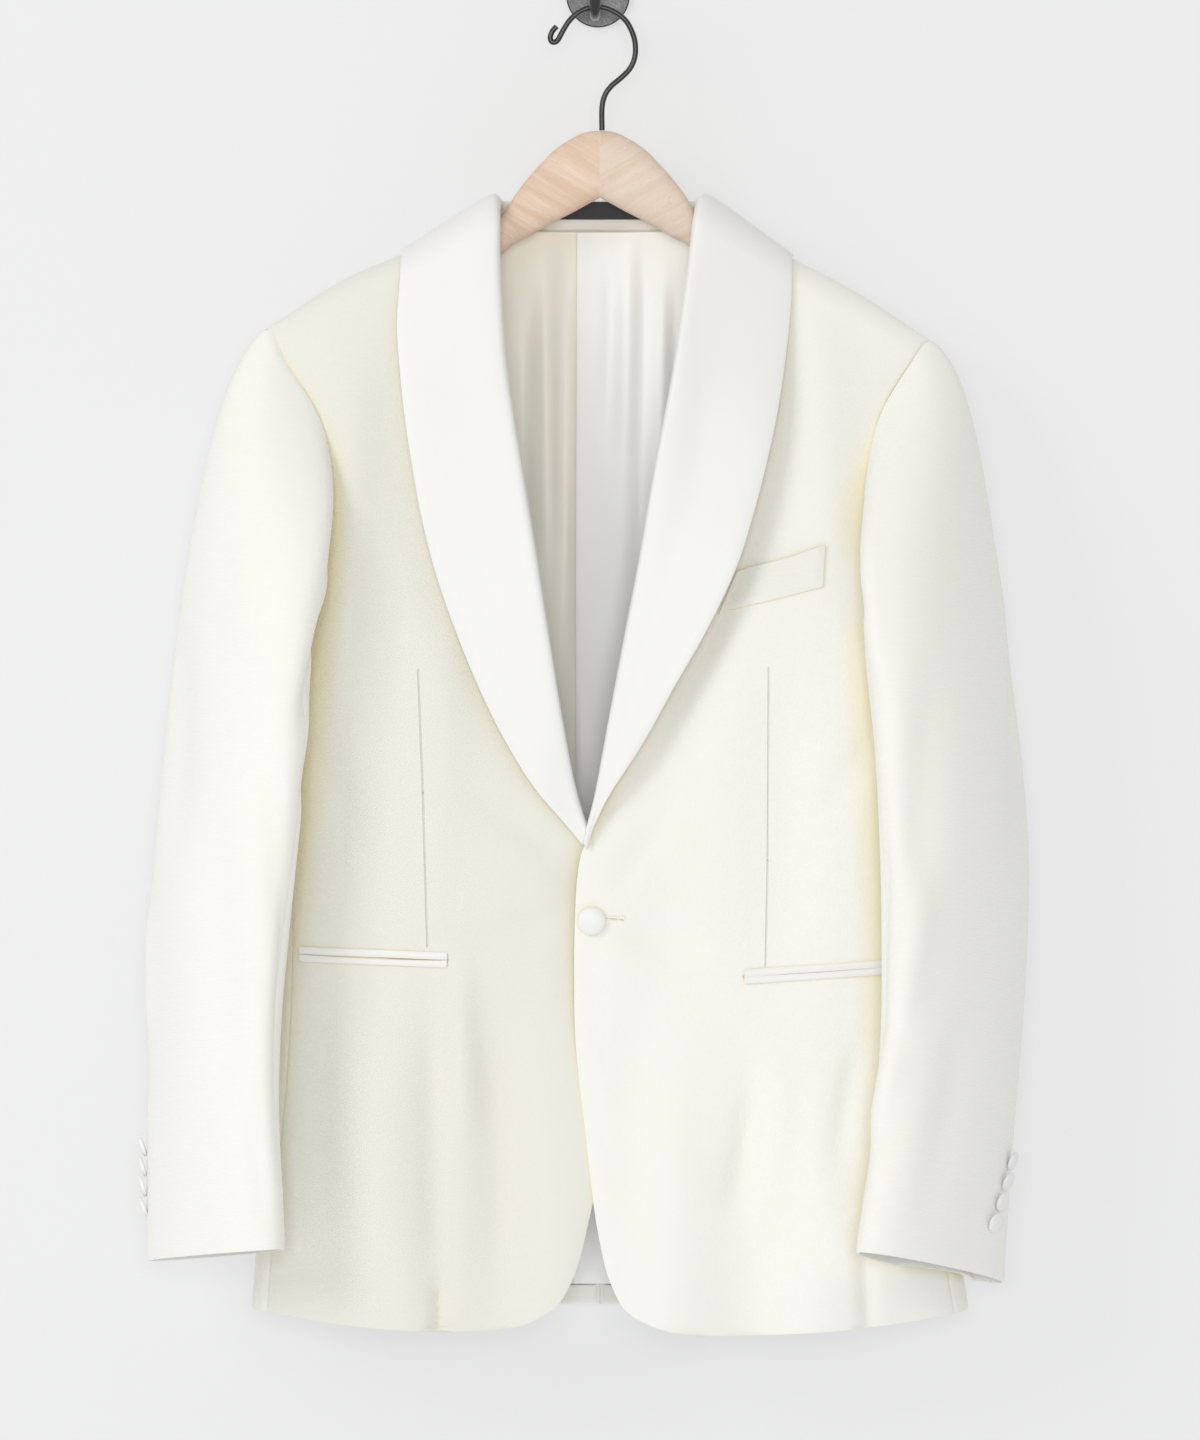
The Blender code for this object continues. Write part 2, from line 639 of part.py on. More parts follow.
def clear_of_body(side, out, y, drop, gap):
    """Push a point out of the body's section, so that a sleeve lies against it."""
    width = read(BODY, SIDE_NAMES[side], drop) + gap
    below, roll = unwrap(wrap_at(drop - ridge(side, out)))
    deep = roll + read(DEPTH, "front" if y < 0 else "back", below) + gap
    share = (abs(out) / width) ** SECTION_POWER + (abs(y) / deep) ** SECTION_POWER
    push = max(share ** (-1 / SECTION_POWER), 1.0)
    return Vector((side * out * push, y * push, -drop))


def sleeve_ring(side, bearing):
    """The armhole, a little inside the edges of the body's panels."""
    angle = math.radians(bearing)
    half = ARMHOLE_FRONT if math.sin(angle) > 0 else ARMHOLE_BACK
    down = ARMHOLE_DEPTH / 2 * (1 - RING_TALL * math.cos(angle))
    outward = 3.5 * SEAM + RING_OUT * max(-math.cos(angle), 0.0)
    ahead = RING_AHEAD * max(math.sin(angle), 0.0)
    out_of_hole = Vector((side * outward, -ahead, 0.0))
    reach = RING_DEEP * half * math.sin(angle) * armhole_lean(side, down)
    return around(side, 1 - reach, down) + out_of_hole


def cuff_drop(side, bearing):
    return blend(*CUFF_END[side], (1 - math.cos(math.radians(90 - bearing))) / 2)


def sleeve_point(side, bearing, t):
    """A point of the sleeve at a bearing and a share of the way to the cuff."""
    cuff = cuff_drop(side, bearing)
    if t >= SLEEVE_CAP_SHARE:
        drop = blend(SLEEVE_START, cuff, (t - SLEEVE_CAP_SHARE) / (1 - SLEEVE_CAP_SHARE))
        return clear_of_body(side, *oval(side, bearing, drop), drop, SLEEVE_CLEARANCE)
    s = t / SLEEVE_CAP_SHARE
    start = sleeve_ring(side, bearing)
    end = clear_of_body(side, *oval(side, bearing, SLEEVE_START), SLEEVE_START, SLEEVE_CLEARANCE)
    below = clear_of_body(side, *oval(side, bearing, 0.50), 0.50, SLEEVE_CLEARANCE)
    facing = (bearing + 180) % 360 - 180
    outward, ahead, downward = (read(SLEEVE_HEAD, name, facing) for name in ("out", "ahead", "down"))
    leave = Vector((side * outward, -ahead, -downward))
    reach = (end - start).length
    arrive = (below - end).normalized() * reach
    hump = s * s * (3 - 2 * s)
    point = start * (1 - hump) + end * hump
    point += leave * reach * s * (1 - s) ** 2
    point += arrive * SLEEVE_HANG * s * s * (s - 1)
    gap = SLEEVE_CLEARANCE * ease(s, 0.0, 0.2)
    if -point.z < ARMHOLE_CLEAR:
        return point
    return clear_of_body(side, point.x * side, point.y, -point.z, gap)


def sleeve(stage, label, side):
    def middle(point):
        drop = max(-point.z, SLEEVE_START)
        rows = SLEEVES[side]
        out = (read(rows, "outer", drop) + read(rows, "inner", drop)) / 2
        if -point.z < SLEEVE_START:
            return Vector((side * blend(out, 0.205, ease(-point.z, 0.47, 0.36)), -0.01, point.z - 0.03))
        return Vector((side * out, -read(rows, "forward", drop), point.z))

    def piece(name, first, last, columns):
        def place(u, v):
            return sleeve_point(side, blend(first + SLEEVE_SEAM_GAP, last - SLEEVE_SEAM_GAP, u), v)

        sheet(name + label, stage, WOOL, columns, 16, place, CLOTH, middle)

    piece("top_sleeve_", SLEEVE_SEAM_BACK, SLEEVE_SEAM_FRONT, 11)
    piece("under_sleeve_", SLEEVE_SEAM_FRONT, SLEEVE_SEAM_BACK + 360, 8)


# ---- Pockets and buttons ---------------------------------------------------
def hip_pocket(stage, label, side):
    row = list(SIDES.values()).index(side)
    slit = POCKETS["slit"][row]
    inner, outer = POCKET_ENDS[side]

    def strip(name, top):
        def place(u, v):
            out = blend(inner, outer, u)
            drop = blend(POCKETS["inner_drop"][row], POCKETS["outer_drop"][row], u)
            return on_front(side, out, drop + top + POCKET_JET * v, CLOTH + 2 * SEAM)

        sheet(name, stage, IVORY_SATIN, 8, 1, place, SATIN)

    strip("pocket_jet_upper_" + label, 0.0)
    strip("pocket_jet_lower_" + label, POCKET_JET + slit)


def breast_welt(stage):
    top, bottom = ([Vector(corner) for corner in edge] for edge in (WELT_TOP, WELT_BOTTOM))

    def place(u, v):
        out, drop = top[0].lerp(top[1], u).lerp(bottom[0].lerp(bottom[1], u), v)
        return on_front(1, out, drop, CLOTH + 2 * SEAM)

    sheet("breast_welt", stage, WOOL, 6, 3, place, WELT)


def button(name, stage, centre, normal, diameter, thick):
    """A covered button: a disc with a broad rounded rim, standing on its seat."""
    bm = bmesh.new()
    bmesh.ops.create_cone(
        bm, cap_ends=True, segments=16, radius1=diameter / 2, radius2=diameter / 2, depth=thick)
    mesh = bpy.data.meshes.new(name)
    bm.to_mesh(mesh)
    bm.free()
    thing = add(name, mesh, IVORY_SATIN, stage)
    turned = normal.to_track_quat("Z", "Y").to_matrix().to_4x4()
    thing.matrix_basis = Matrix.Translation(centre + normal * thick / 2) @ turned
    rim = thing.modifiers.new("Rounded rim", "BEVEL")
    rim.width = thick * 0.38
    rim.segments = 1


def front_button(stage):
    seat = on_front(1, *FRONT_BUTTON_AT, CLOTH + 2 * SEAM)
    outward = (on_front(1, *FRONT_BUTTON_AT, 0.01) - seat).normalized()
    button("front_button", stage, seat, outward, FRONT_BUTTON, FRONT_BUTTON_THICK)


def cuff_buttons(stage, label, side):
    row = list(SIDES.values()).index(side)
    bearing = CUFF_BUTTONS["bearing"][row]
    cuff = cuff_drop(side, bearing)
    for i in range(4):
        drop = CUFF_BUTTONS["first_drop"][row] + i * CUFF_BUTTON_PITCH
        t = blend(SLEEVE_CAP_SHARE, 1.0, (drop - SLEEVE_START) / (cuff - SLEEVE_START))
        seat = sleeve_point(side, bearing, t)
        across = sleeve_point(side, bearing + 3, t) - sleeve_point(side, bearing - 3, t)
        down = sleeve_point(side, bearing, t + 0.01) - sleeve_point(side, bearing, t - 0.01)
        normal = across.cross(down).normalized()
        if normal.x * side < 0:
            normal.negate()
        tilted = (Matrix.Rotation(CUFF_BUTTON_TILT * side, 3, across.normalized()) @ normal).normalized()
        lift = CLOTH + SEAM + math.sin(CUFF_BUTTON_TILT) * CUFF_BUTTON * 0.30
        name = f"cuff_button_{label}_{i + 1}"
        button(name, stage, seat + normal * lift, tilted, CUFF_BUTTON, CUFF_BUTTON_THICK)


# ---- Hanger and wall hook --------------------------------------------------
def hanger(stage, label, side):
    def place(u, v):
        out = blend(SEAM / 2, 0.214, v ** 0.9)
        below, height, thick = (read(HANGER, name, out) for name in ("below", "height", "thick"))
        angle = u * 2 * math.pi
        up = math.copysign(abs(math.cos(angle)) ** 0.75, math.cos(angle))
        across = math.copysign(abs(math.sin(angle)) ** 0.75, math.sin(angle))
        drop = ridge(side, out) + below + height / 2 * (1 - up)
        return Vector((side * out, thick * across, -drop))

    loft("hanger_" + label, stage, BEECH, 16, 16, place)


def wire(name, stage, look, points, radius, radii):
    curve = bpy.data.curves.new(name, "CURVE")
    curve.dimensions = "3D"
    curve.bevel_depth = radius
    curve.bevel_resolution = 2
    curve.use_fill_caps = True
    spline = curve.splines.new("POLY")
    spline.points.add(len(points) - 1)
    for point, place, size in zip(spline.points, points, radii):
        point.co = (*place, 1.0)
        point.radius = size
    return add(name, curve, look, stage)


def hanger_hook(stage):
    steps = 38
    last = len(HOOK_ROUTE["out"]) - 1
    route = {"at": list(range(last + 1)), **HOOK_ROUTE}
    points = []
    for i in range(steps + 1):
        at = last * i / steps
        points.append(Vector((read(route, "out", at), 0.0, -read(route, "drop", at))))
    wire("hanger_hook", stage, BLACK_METAL, points, WIRE / 2, [1.0] * len(points))


def wall_hook(stage):
    centre = -HOOK_SEAT
    bm = bmesh.new()
    bmesh.ops.create_cone(
        bm, cap_ends=True, segments=32, radius1=PLATE / 2, radius2=PLATE / 2, depth=PLATE_THICK)
    mesh = bpy.data.meshes.new("wall_plate")
    bm.to_mesh(mesh)
    bm.free()
    thing = add("wall_plate", mesh, BLACK_METAL, stage)
    thing.location = centre - Vector((0.0, PLATE_THICK / 2, 0.0))
    thing.rotation_euler = (math.pi / 2, 0.0, 0.0)
    points = [Vector((-0.0035, -f, r)) for f, r in zip(PEG_ROUTE["forward"], PEG_ROUTE["rise"])]
    wire("wall_peg", stage, BLACK_METAL, points, PEG / 2, PEG_ROUTE["radius"])


def main():
    clear_scene()
    collection = bpy.data.collections.new("dinner_jacket_on_hanger")
    bpy.context.scene.collection.children.link(collection)
    hang = bpy.data.objects.new("hook_seat", None)
    hang.location = HOOK_SEAT
    collection.objects.link(hang)
    stage = {"collection": collection, "hang": hang}
    for label, side in SIDES.items():
        front(stage, label, side)
        side_panel(stage, label, side)
        back(stage, label, side)
        shawl(stage, label, side)
        lining(stage, label, side)
        hem(stage, label, side)
        sleeve(stage, label, side)
        hip_pocket(stage, label, side)
        cuff_buttons(stage, label, side)
        hanger(stage, label, side)
    back_band(stage, "neck_facing", WOOL, (-0.045, 0.045), (0.0080, 0.0010), 0.0, 0.0014, 12, 1.0)
    back_band(stage, "neck_label", LABEL, (-0.036, 0.030), (0.0198, 0.0073), -0.0042, 0.0006, 8, 0.35)
    breast_welt(stage)
    front_button(stage)
    hanger_hook(stage)
    wall_hook(stage)


main()
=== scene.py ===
"""Dinner jacket on a hanger: the finished cloth, buttons, hanger and wall hook.

Metres, +Z up. The front faces -Y and the wall is the plane Y = 0. The garment is laid
out from the hook seat: "out" is the distance from the centre line towards one side,
"drop" the distance below the seat and "wrap" the distance along the cloth from the
shoulder ridge, positive down the front and negative down the back. "turn" goes round
the body from 0 at the centre front over 1 at the side to 2 at the centre back. "left"
is the wearer's left, at +X, and side 1; the right is side -1.
"""

import math

import bmesh
import bpy
import numpy as np
from mathutils import Matrix, Vector


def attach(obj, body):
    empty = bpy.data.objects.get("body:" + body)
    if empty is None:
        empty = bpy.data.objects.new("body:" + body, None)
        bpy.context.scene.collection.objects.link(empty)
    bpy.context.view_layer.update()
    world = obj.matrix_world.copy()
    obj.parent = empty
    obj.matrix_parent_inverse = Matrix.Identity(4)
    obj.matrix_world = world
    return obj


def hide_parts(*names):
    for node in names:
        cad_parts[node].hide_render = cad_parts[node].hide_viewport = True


bl_info = {
    "name": "Dinner jacket on a hanger",
    "version": (1, 0, 0),
    "blender": (4, 5, 0),
    "location": "View3D > Sidebar > Jacket",
    "description": "Ivory dinner jacket with a satin shawl collar, on a wooden hanger",
    "category": "Object",
}

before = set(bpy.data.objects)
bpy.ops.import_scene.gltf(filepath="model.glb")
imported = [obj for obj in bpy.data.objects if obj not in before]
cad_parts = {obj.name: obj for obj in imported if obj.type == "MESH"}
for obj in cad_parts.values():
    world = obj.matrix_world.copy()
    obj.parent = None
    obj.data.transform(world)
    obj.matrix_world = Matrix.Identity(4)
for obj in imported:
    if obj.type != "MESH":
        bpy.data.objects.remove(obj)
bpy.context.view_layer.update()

# ---- Sizes of the garment's form --------------------------------------------
HOOK_SEAT = np.array((0.0014, -0.058, -0.0126))
SIDES = {"left": 1, "right": -1}
SIDE_NAMES = {1: "left", -1: "right"}
MADE = "_made"
CLOTH = 0.002
SATIN = 0.0014
LINING = 0.001
LINING_GAP = 0.0013
HEM_WALL = 0.0014
HEM_GAP = 0.0009
SEAM = 0.0001

SHOULDER_ROLL = 0.018
NECK_OUT = 0.068
NECK_SEAM_OUT = 0.076
NECK_TURN = 1.831
NECK_DROP = 0.1375
NECK_SLOPE = 1.2
SHOULDER_SLOPE = {1: 0.595, -1: 0.535}
SHOULDER_BOW = {1: 0.003, -1: 0.005}
SHOULDER_BOW_START = 0.125
SHOULDER_BOW_WIDTH = 0.11
BACK_NECK_DROP = 0.154
BACK_HEM_DROP = 0.913
HEM_RISES = (0.75, 1.15)
SECTION_POWER = 2.4

ARMHOLE_DEPTH = 0.31
ARMHOLE_FRONT = 0.42
ARMHOLE_BACK = 0.36
ARMHOLE_LEAN = {1: 0.40, -1: 0.75}
ARMHOLE_LEAN_END = 0.21
ARMHOLE_LEAN_POWER = 2.3
SIDE_FRONT_SEAM = 0.80
SIDE_BACK_SEAM = 1.30

# Where the fronts lap: from the centre line outwards, and where the step starts and ends.
LAP_STEP = 0.0029
LAP_LIFT = 0.0056
LAP_ACROSS = {1: (0.008, 0.050), -1: (0.010, 0.045)}
LAP_START = {1: (0.44, 0.55), -1: (0.42, 0.55)}
LAP_END = (0.62, 0.76)

LAPEL_ROLL = 0.006
HOLLOW_PAST_EDGE = 0.002
HOLLOW_INNER_WIDTH = 0.030
HOLLOW_WIDTH = {1: 0.017, -1: 0.024}
HOLLOW_WIDENS = 0.020
COLLAR_FRONT_SHARE = 0.69
SHOULDER_EDGE = 0.136
COLLAR_END = {1: 0.5865, -1: 0.586}
COLLAR_LONG = 0.82
COLLAR_SHOWN = 0.3
COLLAR_NARROW = 0.025
COLLAR_LEAST = 0.0012

# Rough widths and lengths of the pieces, which space the seams, hems and swells.
FRONT_WIDE, FRONT_LONG = 0.24, 0.78
SIDE_WIDE, SIDE_LONG = 0.08, 0.55
BACK_WIDE, BACK_LONG = 0.2, 0.75
SLEEVE_LONG = 0.75
SEAM_DIP, SEAM_REACH = 0.0009, 0.0026
FOLD_DIP, FOLD_REACH = 0.0005, 0.004
UNEVEN = {"front": 0.00030, "side": 0.00025, "back": 0.00035, "collar": 0.00022, "sleeve": 0.00030}

SLEEVE_START = 0.47
SLEEVE_CAP_SHARE = 0.34
ARMHOLE_CLEAR = 0.34
RING_TALL = 0.996
RING_DEEP = 0.990
RING_OUT = 0.0006
SLEEVE_RADIUS = 0.055
SLEEVE_CLEARANCE = 0.0080
SLEEVE_SEAM_FRONT = 112
SLEEVE_SEAM_BACK = -96
LINING_END = {1: 2.028, -1: 1.996}
LINING_FOOT = 0.981
LINING_FULL = 0.0032
PLEAT_DEEP = 0.0022

POCKET_JET = 0.0048
BUTTON_AT = (-0.006, 0.6405)
BUTTON_THICK = 0.0048
CUFF_BUTTON_THICK = 0.0036
CUFF_PITCH = 0.0140
CUFF_TILT = math.radians(18)
WIRE_RADIUS = 0.00195
PEG_RADIUS = 0.0035
PEG_OUT = -0.0035
HANGER_HALF = 0.214
HANGER_GAP = 0.00012
HANGER_ROUND_UP, HANGER_ROUND_ACROSS = 0.68, 0.60
DARTS = {
    1: ((0.1176, 0.4641), (0.1169, 0.5985), (0.1155, 0.6727)),
    -1: ((0.1267, 0.4655), (0.1232, 0.5516), (0.1204, 0.6587))}

# Colours and shares of a colour, as red, green and blue.
WHITE = (1, 1, 1, 1)
NOWHERE = (0, 0, 0)
# Painted light: the lit white of the left lining half and the neck facing.
LINING_LIT = (0.985, 0.985, 0.985)
# Painted shade: darker copies of the wool for the breast welt and the right side panel, and for the right
# front.
WOOL_PAINTED_SHADE = 0.955
WOOL_FRONT_PAINTED_SHADE = (0.905, 0.900, 0.868)
# Painted shade for the dart lines and the pocket mouths.
SEAM_SHADE = (0.78, 0.66, 0.44, 1.0)
BEECH_WARM = (1.04, 0.97, 0.93)
BEECH_STREAK = (0.86, 0.76, 0.64)
BEECH_FLECK = (0.62, 0.47, 0.34)
# Painted shade: the tan tones that ambient occlusion multiplies into cloth in its nooks, and how far it
# looks.
PAINTED_SHADE_TONE = (0.99, 0.90, 0.65)
LINING_PAINTED_SHADE_TONE = (1.00, 0.95, 0.84)
PAINTED_SHADE_REACH = 0.028
LINING_PAINTED_SHADE_REACH = 0.080

# Cloths as yarn, twill, slub, relief, roughness, sheen and the spread of their tone.
WOOL_CLOTH = (5200.0, 1.0, 0.55, 0.00016, 0.86, 0.22, 0.012)
LINING_CLOTH = (7600.0, 0.5, 0.22, 0.00005, 0.42, 0.08, 0.008)
SATIN_CLOTH = (7000.0, 0.25, 0.30, 0.00006, 0.46, 0.10, 0.008)
LABEL_CLOTH = (5600.0, 0.0, 0.6, 0.00008, 0.72, 0.10, 0.10)
THREAD_CLOTH = (9000.0, 1.0, 0.5, 0.00008, 0.60, 0.15, 0.02)

# Columns of shares, ratios, degrees and sides; all the others are millimetres.
PLAIN = "side face along skew bearing turn radius b0 b1 across lifted".split()


def table(columns, *rows, unit=0.001):
    """Turn rows of numbers into named columns in metres; the first column is the key."""
    return {
        name: np.array([row[i] for row in rows]) * (1.0 if name in PLAIN else unit)
        for i, name in enumerate(columns.split())}


BODY = table(
    "drop left right",
    (100, 232, 232), (240, 230.5, 230.5), (340, 231, 231), (440, 232, 232), (550, 227, 227),
    (650, 225, 224), (750, 232, 228), (850, 247, 238), (935, 261, 244.5))

DEPTH = table(
    "below front back",
    (0, 0, 0), (30, 7, 10), (80, 18, 17), (150, 32, 22), (250, 43, 25), (400, 45, 23), (550, 40, 19),
    (700, 36, 18), (840, 35, 20))

HEM = table(
    "out left right",
    (0, 932, 928.5), (60, 931.2, 927.5), (120, 930.5, 928), (180, 926.5, 923.5), (240, 918.5, 915),
    (270, 914, 911))

FRONT_EDGE = table(
    "drop left right",
    (550, -3, 15), (585, -12, 2), (612, -16, -12), (640, -17.5, -18), (674, -18, -18), (727, -17, -16),
    (787, -10.5, -6), (846, -3.5, 7), (880, 3, 15.2), (894, 7.5, 20.5), (910, 15.5, 30), (918, 24.5, 41),
    (924, 37, 54.5), (927, 46.5, 70), (929, 56.5, 88), (930.8, 76, 96))

ROLL_LINE = table(
    "drop left right",
    (132, 66.5, 69), (168, 63, 70.5), (206.5, 58, 69), (262.5, 50, 64), (325.5, 38.5, 54.5),
    (388.5, 28, 44.5), (444.5, 17.5, 36), (500.5, 7, 27.2), (550, -2, 17.5), (581, -9.5, 7),
    (600, -14, -4))

LAPEL_EDGE = table(
    "drop left right",
    (175, 133, 137.5), (200, 133.5, 140), (227.5, 131, 141), (262.5, 126, 138), (304.5, 118, 132.5),
    (353.5, 106, 124), (395.5, 93, 114), (437.5, 73.5, 100), (479.5, 50, 83), (518, 28, 64),
    (550, 8.2, 44), (578, -6.5, 20.5), (590, -10.8, 10.5), (605, -13, 2))

BACK_COLLAR = table(
    "along roll_out roll_below edge_out edge_below",
    (0, 68, 0, 134.5, 0), (0.25, 63, 7.5, 113, 18), (0.5, 50, 21.1, 80, 39.4), (0.75, 30, 43.1, 41, 78),
    (1, 0.4, 78.1, 0.4, 125.6))

SLEEVE_LEFT = table(
    "drop outer inner depth thick forward",
    (470, 290, 188, 83, 33, 30), (529, 296, 193.5, 82, 32, 33), (599, 300, 196.5, 80, 31, 37),
    (663, 298.5, 197, 77, 30, 41), (727, 294.5, 196, 75, 29, 45), (790, 289, 191.5, 73, 28, 50),
    (880, 282, 178, 70, 26, 58))

SLEEVE_RIGHT = table(
    "drop outer inner depth thick forward",
    (470, 300, 200, 83, 33, 30), (526, 305.5, 206, 82, 32, 32), (596, 312, 213, 80, 31, 36),
    (653, 314, 218, 77, 30, 39), (710, 314, 222.5, 75, 29, 42), (790, 316.5, 224, 73, 28, 47),
    (870, 316, 220.5, 70, 26, 52))

SLEEVES = {1: SLEEVE_LEFT, -1: SLEEVE_RIGHT}

# Which way the sleeve's head leaves the armhole, by bearing from the shoulder point.
SLEEVE_HEAD = table(
    "bearing out ahead down",
    (-180, 0.8, 0, 0.4), (-90, 0.5, -0.3, 0.6), (0, 0.5, 0, 0.5), (50, 0.1, 0.44, 0.8),
    (90, -0.22, 0.6, 0.8), (135, -0.02, 0.8, 0.5), (180, 0.8, 0, 0.4), unit=1.0)
SLEEVE_HANG = 1.46
CUFF_END = {1: (0.870, 0.896), -1: (0.868, 0.881)}

HANGER = table(
    "out below height thick",
    (0, 30.1, 47, 9), (10, 19.1, 51.5, 9), (20, 11.6, 52.5, 9), (32, 5.2, 50.5, 9), (41, 3.4, 46.5, 9),
    (50, 2.6, 42, 9), (60, 3.5, 34, 9), (68, 7, 28, 9), (84, 6.8, 27, 9), (100, 1.6, 30.5, 9),
    (130, 1.8, 28.5, 9), (165, 2.2, 25.5, 9), (205, 1.8, 22.5, 8), (214, 4.5, 15, 5))

POCKETS = table(
    "side inner_drop outer_drop slit",
    (1, 675, 668, 0.6), (-1, 663, 659.4, 1.4))
POCKET_ENDS = {1: (0.1005, 0.2090), -1: (0.1064, 0.2090)}

# Corners of the breast welt as out and drop, inner end then outer end.
WELT_TOP = ((0.0955, 0.397), (0.157, 0.378))
WELT_BOTTOM = ((0.0830, 0.4265), (0.1555, 0.4075))

CUFF_BUTTONS = table(
    "side first_drop bearing turn",
    (1, 809.5, -45, 6), (-1, 800, -60, 0.5))

HOOK_ROUTE = table(
    "out drop",
    (1.4, 85.7), (1.4, 70), (3.5, 61), (8, 54.5), (14.5, 49), (20.5, 43), (24, 36), (25, 28), (23.5, 19),
    (18.5, 9), (10.5, 2.5), (1, -1), (-8, -0.5), (-15.5, 3), (-21.5, 8.5), (-26, 15.5), (-30, 22.5),
    (-33.5, 23.5), (-35, 20.5), (-33.5, 16), (-30.5, 12.5))

PEG_ROUTE = table(
    "forward rise radius",
    (-53.5, 5.8, 1.15), (-50, 5.8, 1.1), (-44, 3, 1), (-30, -2.2, 1), (-12, -4.6, 1), (2, -4.9, 1),
    (10, -3.4, 1.05), (15, 0.5, 1.15), (17.5, 6.5, 1.3), (18.5, 12.5, 1.35), (19, 16, 1))

# Broad vertical folds: place across, where they start and end, width and height.
FOLDS = table(
    "side face out top bottom width height",
    (-1, 1, 150, 640, 960, 34, 8.6), (-1, 1, 74, 620, 960, 36, -9.2), (-1, 1, 30, 700, 960, 24, 3.4),
    (1, 1, 108, 690, 960, 28, -8), (1, 1, 158, 670, 960, 30, 5.2), (1, 1, 50, 670, 960, 26, 6.8),
    (1, -1, 70, 420, 960, 30, -4.5), (-1, -1, 78, 460, 960, 34, -5), (1, -1, 150, 520, 960, 30, 4),
    (-1, -1, 160, 480, 960, 30, 4))

# Smaller creases of the body, from one end to the other. "bow" bends the line, "skew"
# widens its outer flank and "rise" is its height, below zero for a trough.
CREASES = table(
    "side face x0 d0 x1 d1 bow width skew rise",
    (-1, 1, 97.5, 664, 90, 800, 2, 8.5, 1.5, 5.4), (-1, 1, 115, 680, 112, 945, 3, 13, 1, -6.7),
    (-1, 1, 156, 700, 164, 900, -3, 17, 1, 4.8), (-1, 1, 152, 190, 133, 520, 4, 26, 1, -6),
    (-1, 1, 108, 420, 115, 640, 3, 20, 1.2, 4.1), (-1, 1, 72, 690, 66, 930, -4, 20, 1, -9),
    (-1, 1, 113, 890, 114, 940, 0, 5, 1, -4.9), (-1, 1, 174, 700, 170, 850, 2, 14, 1, 4.4),
    (-1, 1, 174, 270, 178, 560, 4, 17, 1.2, 7), (-1, 1, 25, 600, 90, 560, 4, 11, 1.3, -3.6),
    (-1, 1, 28, 640, 100, 655, -3, 12, 1, -2.6), (-1, 1, 195, 520, 145, 600, 6, 13, 1, -2.9),
    (1, 1, 106, 750, 90, 850, 2, 8.5, 1.6, -4.9), (1, 1, 123, 735, 110, 870, 3, 12, 1, 4.1),
    (1, 1, 180, 725, 164, 825, -2, 8, 1.5, -4.4), (1, 1, 182, 862, 186, 945, 1, 4.8, 1.8, -4.9),
    (1, 1, 8, 628, 48, 575, 4, 8, 1.2, -3.6), (1, 1, 12, 646, 72, 668, -3, 10, 1.2, -3.1),
    (1, 1, 30, 690, 22, 900, 2, 20, 1, -3.6), (1, 1, 148, 190, 160, 440, 4, 20, 1.1, 4.8),
    (1, 1, 125, 460, 120, 700, 4, 24, 1.2, -4.8), (1, 1, 195, 500, 150, 570, 5, 12, 1, -2.6),
    (1, -1, 30, 200, 42, 420, 3, 15, 1, -1.6), (1, -1, 135, 260, 160, 420, 5, 17, 1.2, 1.8),
    (1, -1, 105, 560, 115, 880, 3, 15, 1.2, -2.4), (1, -1, 190, 620, 198, 880, 2, 12, 1, -2),
    (1, -1, 20, 620, 26, 900, 2, 12, 1.2, 1.6), (-1, -1, 38, 220, 50, 400, -3, 14, 1, -1.5),
    (-1, -1, 144, 280, 165, 450, 5, 18, 1.1, 1.8), (-1, -1, 120, 520, 118, 860, -3, 15, 1, -2.2),
    (-1, -1, 196, 580, 202, 860, 2, 12, 1, -2), (-1, -1, 28, 680, 22, 910, 2, 11, 1, 1.4))

# How far the front dips under the lapel's edge.
LAPEL_HOLLOW = table(
    "drop left right",
    (170, 0, 0), (230, 1.2, 1.2), (300, 4.4, 4.4), (400, 10.8, 7.4), (480, 13.8, 7.2), (540, 11, 4.4),
    (585, 2.2, 0), (610, 0, 0))

# How far the lapel's edge stands off the front, along the collar from the button.
LAPEL_LIFT = table(
    "along left right",
    (0, 0, 0), (0.06, 2, 0.8), (0.14, 7.6, 3.4), (0.24, 10.4, 5.4), (0.36, 8.8, 5), (0.46, 3.6, 2.4),
    (0.56, 0.4, 0.4), (0.69, 0, 0), (1, 0, 0))

# Creases of the sleeves, from one bearing and drop to the other.
SLEEVE_CREASES = table(
    "side b0 d0 b1 d1 bow width skew rise",
    (-1, 128, 420, 96, 505, 4, 13, 1.3, -6.9), (-1, 150, 455, 118, 560, 3, 11, 1.2, -5.9),
    (-1, 140, 350, 118, 430, -3, 12, 1, 4.2), (-1, 60, 520, 84, 660, 6, 16, 1.3, -4.2),
    (-1, 20, 560, 46, 780, 5, 18, 1.2, -4.2), (-1, 100, 610, 110, 800, 3, 13, 1.2, -4.6),
    (-1, 70, 760, 78, 860, -2, 12, 1.2, -3.2), (-1, -40, 420, -10, 600, 5, 17, 1, -4.6),
    (-1, 200, 480, 225, 620, 4, 13, 1.2, -5.5), (-1, -60, 620, -50, 740, 4, 13, 1, 4.2),
    (1, 122, 330, 108, 405, -3, 9, 1.2, -5), (1, 134, 375, 100, 430, 3, 9, 1.6, -5.5),
    (1, 82, 360, 96, 470, 4, 11, 1.5, 4.6), (1, 60, 600, 84, 720, -4, 15, 1.3, 5),
    (1, 84, 720, 112, 800, -3, 13, 1.4, 5), (1, 40, 460, 62, 640, 4, 17, 1.2, -4.2),
    (1, 98, 560, 104, 760, 2, 12, 1.2, -3.6), (1, 20, 700, 30, 850, 3, 15, 1, -3.2),
    (1, -50, 430, -20, 600, -4, 16, 1, -4.6), (1, 205, 500, 228, 640, 4, 13, 1.2, -5))

